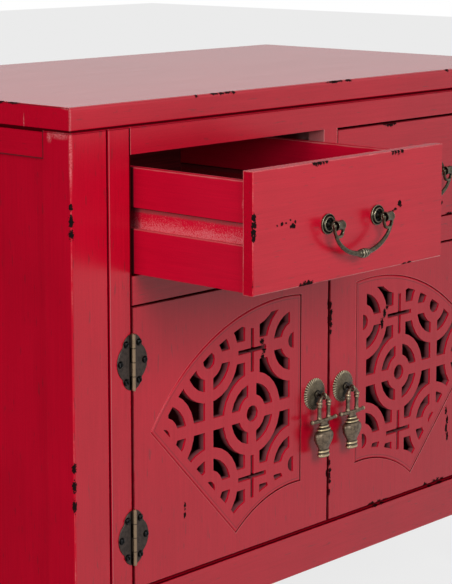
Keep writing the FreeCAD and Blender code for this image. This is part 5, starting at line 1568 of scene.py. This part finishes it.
    def build(self, nodes: Dict[str, bpy.types.Object]) -> None:
        """Dresses every board.

        Args:
            nodes: the frame's nodes by name.
        """
        for grain, names in self.lacquered.items():
            for name in names:
                self.dress(nodes[name], Lacquer(), name, grain)
        for side in ("left", "right"):
            self.dress(nodes[f"door_{side}_board"], Lacquer(fan=Fan()), f"door_{side}_board", Grain.UPRIGHT)
            self.dress(nodes[f"door_{side}_fretwork"], FretLacquer(fan=Fan()), f"door_{side}_fretwork", Grain.UPRIGHT)
            for face in ("outer", "inner"):
                name = f"drawer_{side}_side_{face}"
                low, high = node_box(name)
                outside = low[0] if (side == "left") == (face == "outer") else high[0]
                self.dress(nodes[name], DrawerSide(slot_face=float(outside) * MM), name, Grain.FRONT_TO_BACK)
        for grain, names in self.inside.items():
            for name in names:
                wood = InsideWood(dusty_to=self.partition_dusty_to) if name == "drawer_partition" else InsideWood()
                self.dress(nodes[name], wood, name, grain)

    def marks_of(self, name: str) -> Marks:
        """The marks of a board by its name: its own, or its left-hand twin's mirrored."""
        twin = self.marks.get(name.replace("right", "left"), Marks())
        return self.marks.get(name, twin.mirrored())

    def board(self, name: str, grain: Grain) -> Board:
        """A node as its finish sees it; a rail's tenons are left out."""
        low, high = node_box(name)
        if "rail" in name:
            low[grain.value] += self.tenon
            high[grain.value] -= self.tenon
        return Board(tuple(float(v) * MM for v in low), tuple(float(v) * MM for v in high), grain,
                     self.marks_of(name), chips_at(self.chips.get(name, ())), chips_at(self.wear_and_glints.get(name, ())))

    def dress(self, piece: bpy.types.Object, finish: Union[Lacquer, InsideWood], name: str, grain: Grain) -> None:
        """Gives a node's object its finish in every slot.

        Args:
            piece: the object.
            finish: the lacquer or the stain.
            name: the node's name.
            grain: the way its fibres run.
        """
        kind = "wood" if isinstance(finish, InsideWood) else "lacquer"
        material = finish.material(f"{kind}_{name}", self.board(name, grain))
        LOG.info("%s: %s", name, kind)
        for slot in piece.material_slots:
            slot.material = material
        if not piece.material_slots:
            piece.data.materials.append(material)


# ---------------------------------------------------------------------------------------------
# Studio
# ---------------------------------------------------------------------------------------------
@dataclass
class Studio:
    """A pale floor, soft lights and the camera, in metres."""

    eye: Vec3 = (-2.119, -1.903, 1.091)
    yaw: float = 47.55
    pitch: float = 9.15
    lens: float = 120.5
    shift: float = -0.12
    sky: float = 0.3
    floor_colour: Colour = (0.5, 0.5, 0.5)
    floor_glow: float = 0.8
    floor_reach: float = 14.0

    def build(self) -> None:
        """Makes the camera, the lights, the sky and the floor."""
        self.camera()
        self.world()
        self.floor()
        self.lamp("key", (-0.65, -1.9, 1.35), (-0.25, -0.15, 0.5), 0.85, 25.5)
        self.lamp("fill", (-4.0, -0.6, 2.0), (-0.4, 0.0, 0.45), 2.6, 78.0)
        view = bpy.context.scene.view_settings
        view.view_transform = "Standard"
        LOG.info("studio ready")

    def camera(self) -> None:
        """The camera, level and turned by yaw from +Y towards +X, looking down by pitch."""
        data = bpy.data.cameras.new("photo_camera")
        data.lens = self.lens
        data.sensor_width = 36.0
        data.shift_y = self.shift
        data.clip_end = 100.0
        camera = in_scene("photo_camera", data)
        camera.location = self.eye
        camera.rotation_euler = (math.radians(90.0 - self.pitch), 0.0, -math.radians(self.yaw))
        bpy.context.scene.camera = camera

    def world(self) -> None:
        """An even sky that the camera and reflections see as white."""
        bench = Bench(bpy.data.worlds.new("studio_sky"))
        strength = bench.math("MULTIPLY_ADD", bench.seen(), 1.0 - self.sky, self.sky)
        sky = bench.node("ShaderNodeBackground", {}, {"Color": WHITE, "Strength": strength})
        bpy.context.scene.world = bench.closed(sky, "World")

    def floor(self) -> None:
        """A wide pale floor."""
        far = self.floor_reach
        mesh = bpy.data.meshes.new("studio_floor")
        mesh.from_pydata([(-far, -far, 0.0), (far, -far, 0.0), (far, far, 0.0), (-far, far, 0.0)], [], [(0, 1, 2, 3)])
        bench = Bench(bpy.data.materials.new("floor_paper"))
        grey = bench.noise(bench.place(), 3.0, 2.0)
        colour = bench.mix(grey, self.floor_colour, tuple(channel * 1.02 for channel in self.floor_colour))
        paper = bench.node("ShaderNodeBsdfDiffuse", {}, {"Color": colour})
        glow = bench.node("ShaderNodeEmission", {}, {"Color": WHITE, "Strength": 1.0})
        mesh.materials.append(bench.closed(bench.node("ShaderNodeMixShader", {}, {
            0: bench.seen() * self.floor_glow, 1: paper, 2: glow})))
        floor = in_scene("studio_floor", mesh)

    @staticmethod
    def lamp(name: str, place: Vec3, aim: Vec3, size: float, power: float) -> None:
        """A square soft light.

        Args:
            name: its name.
            place: where it stands.
            aim: the point it faces.
            size: its side.
            power: its power in watts.
        """
        data = bpy.data.lights.new(name, "AREA")
        data.shape = "SQUARE"
        data.size = size
        data.energy = power
        lamp = in_scene(name, data)
        away = np.asarray(place) - np.asarray(aim)
        lamp.location = place
        lamp.rotation_euler = (math.acos(away[2] / np.linalg.norm(away)), 0.0,
                               math.atan2(away[1], away[0]) + math.pi / 2)


def main() -> None:
    """Builds the cabinet's looks round its frame; each made piece logs how many points it has."""
    logging.basicConfig(level=logging.INFO, format="%(name)s: %(message)s")
    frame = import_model()
    Studio().build()
    Boards().build(frame["nodes"])
    for side in ("left", "right"):
        DrawerHandle(side).build()
        DoorPull(side).build()
    Hinges().build()
    LOG.info("cabinet ready")


if __name__ == "__main__":
    main()
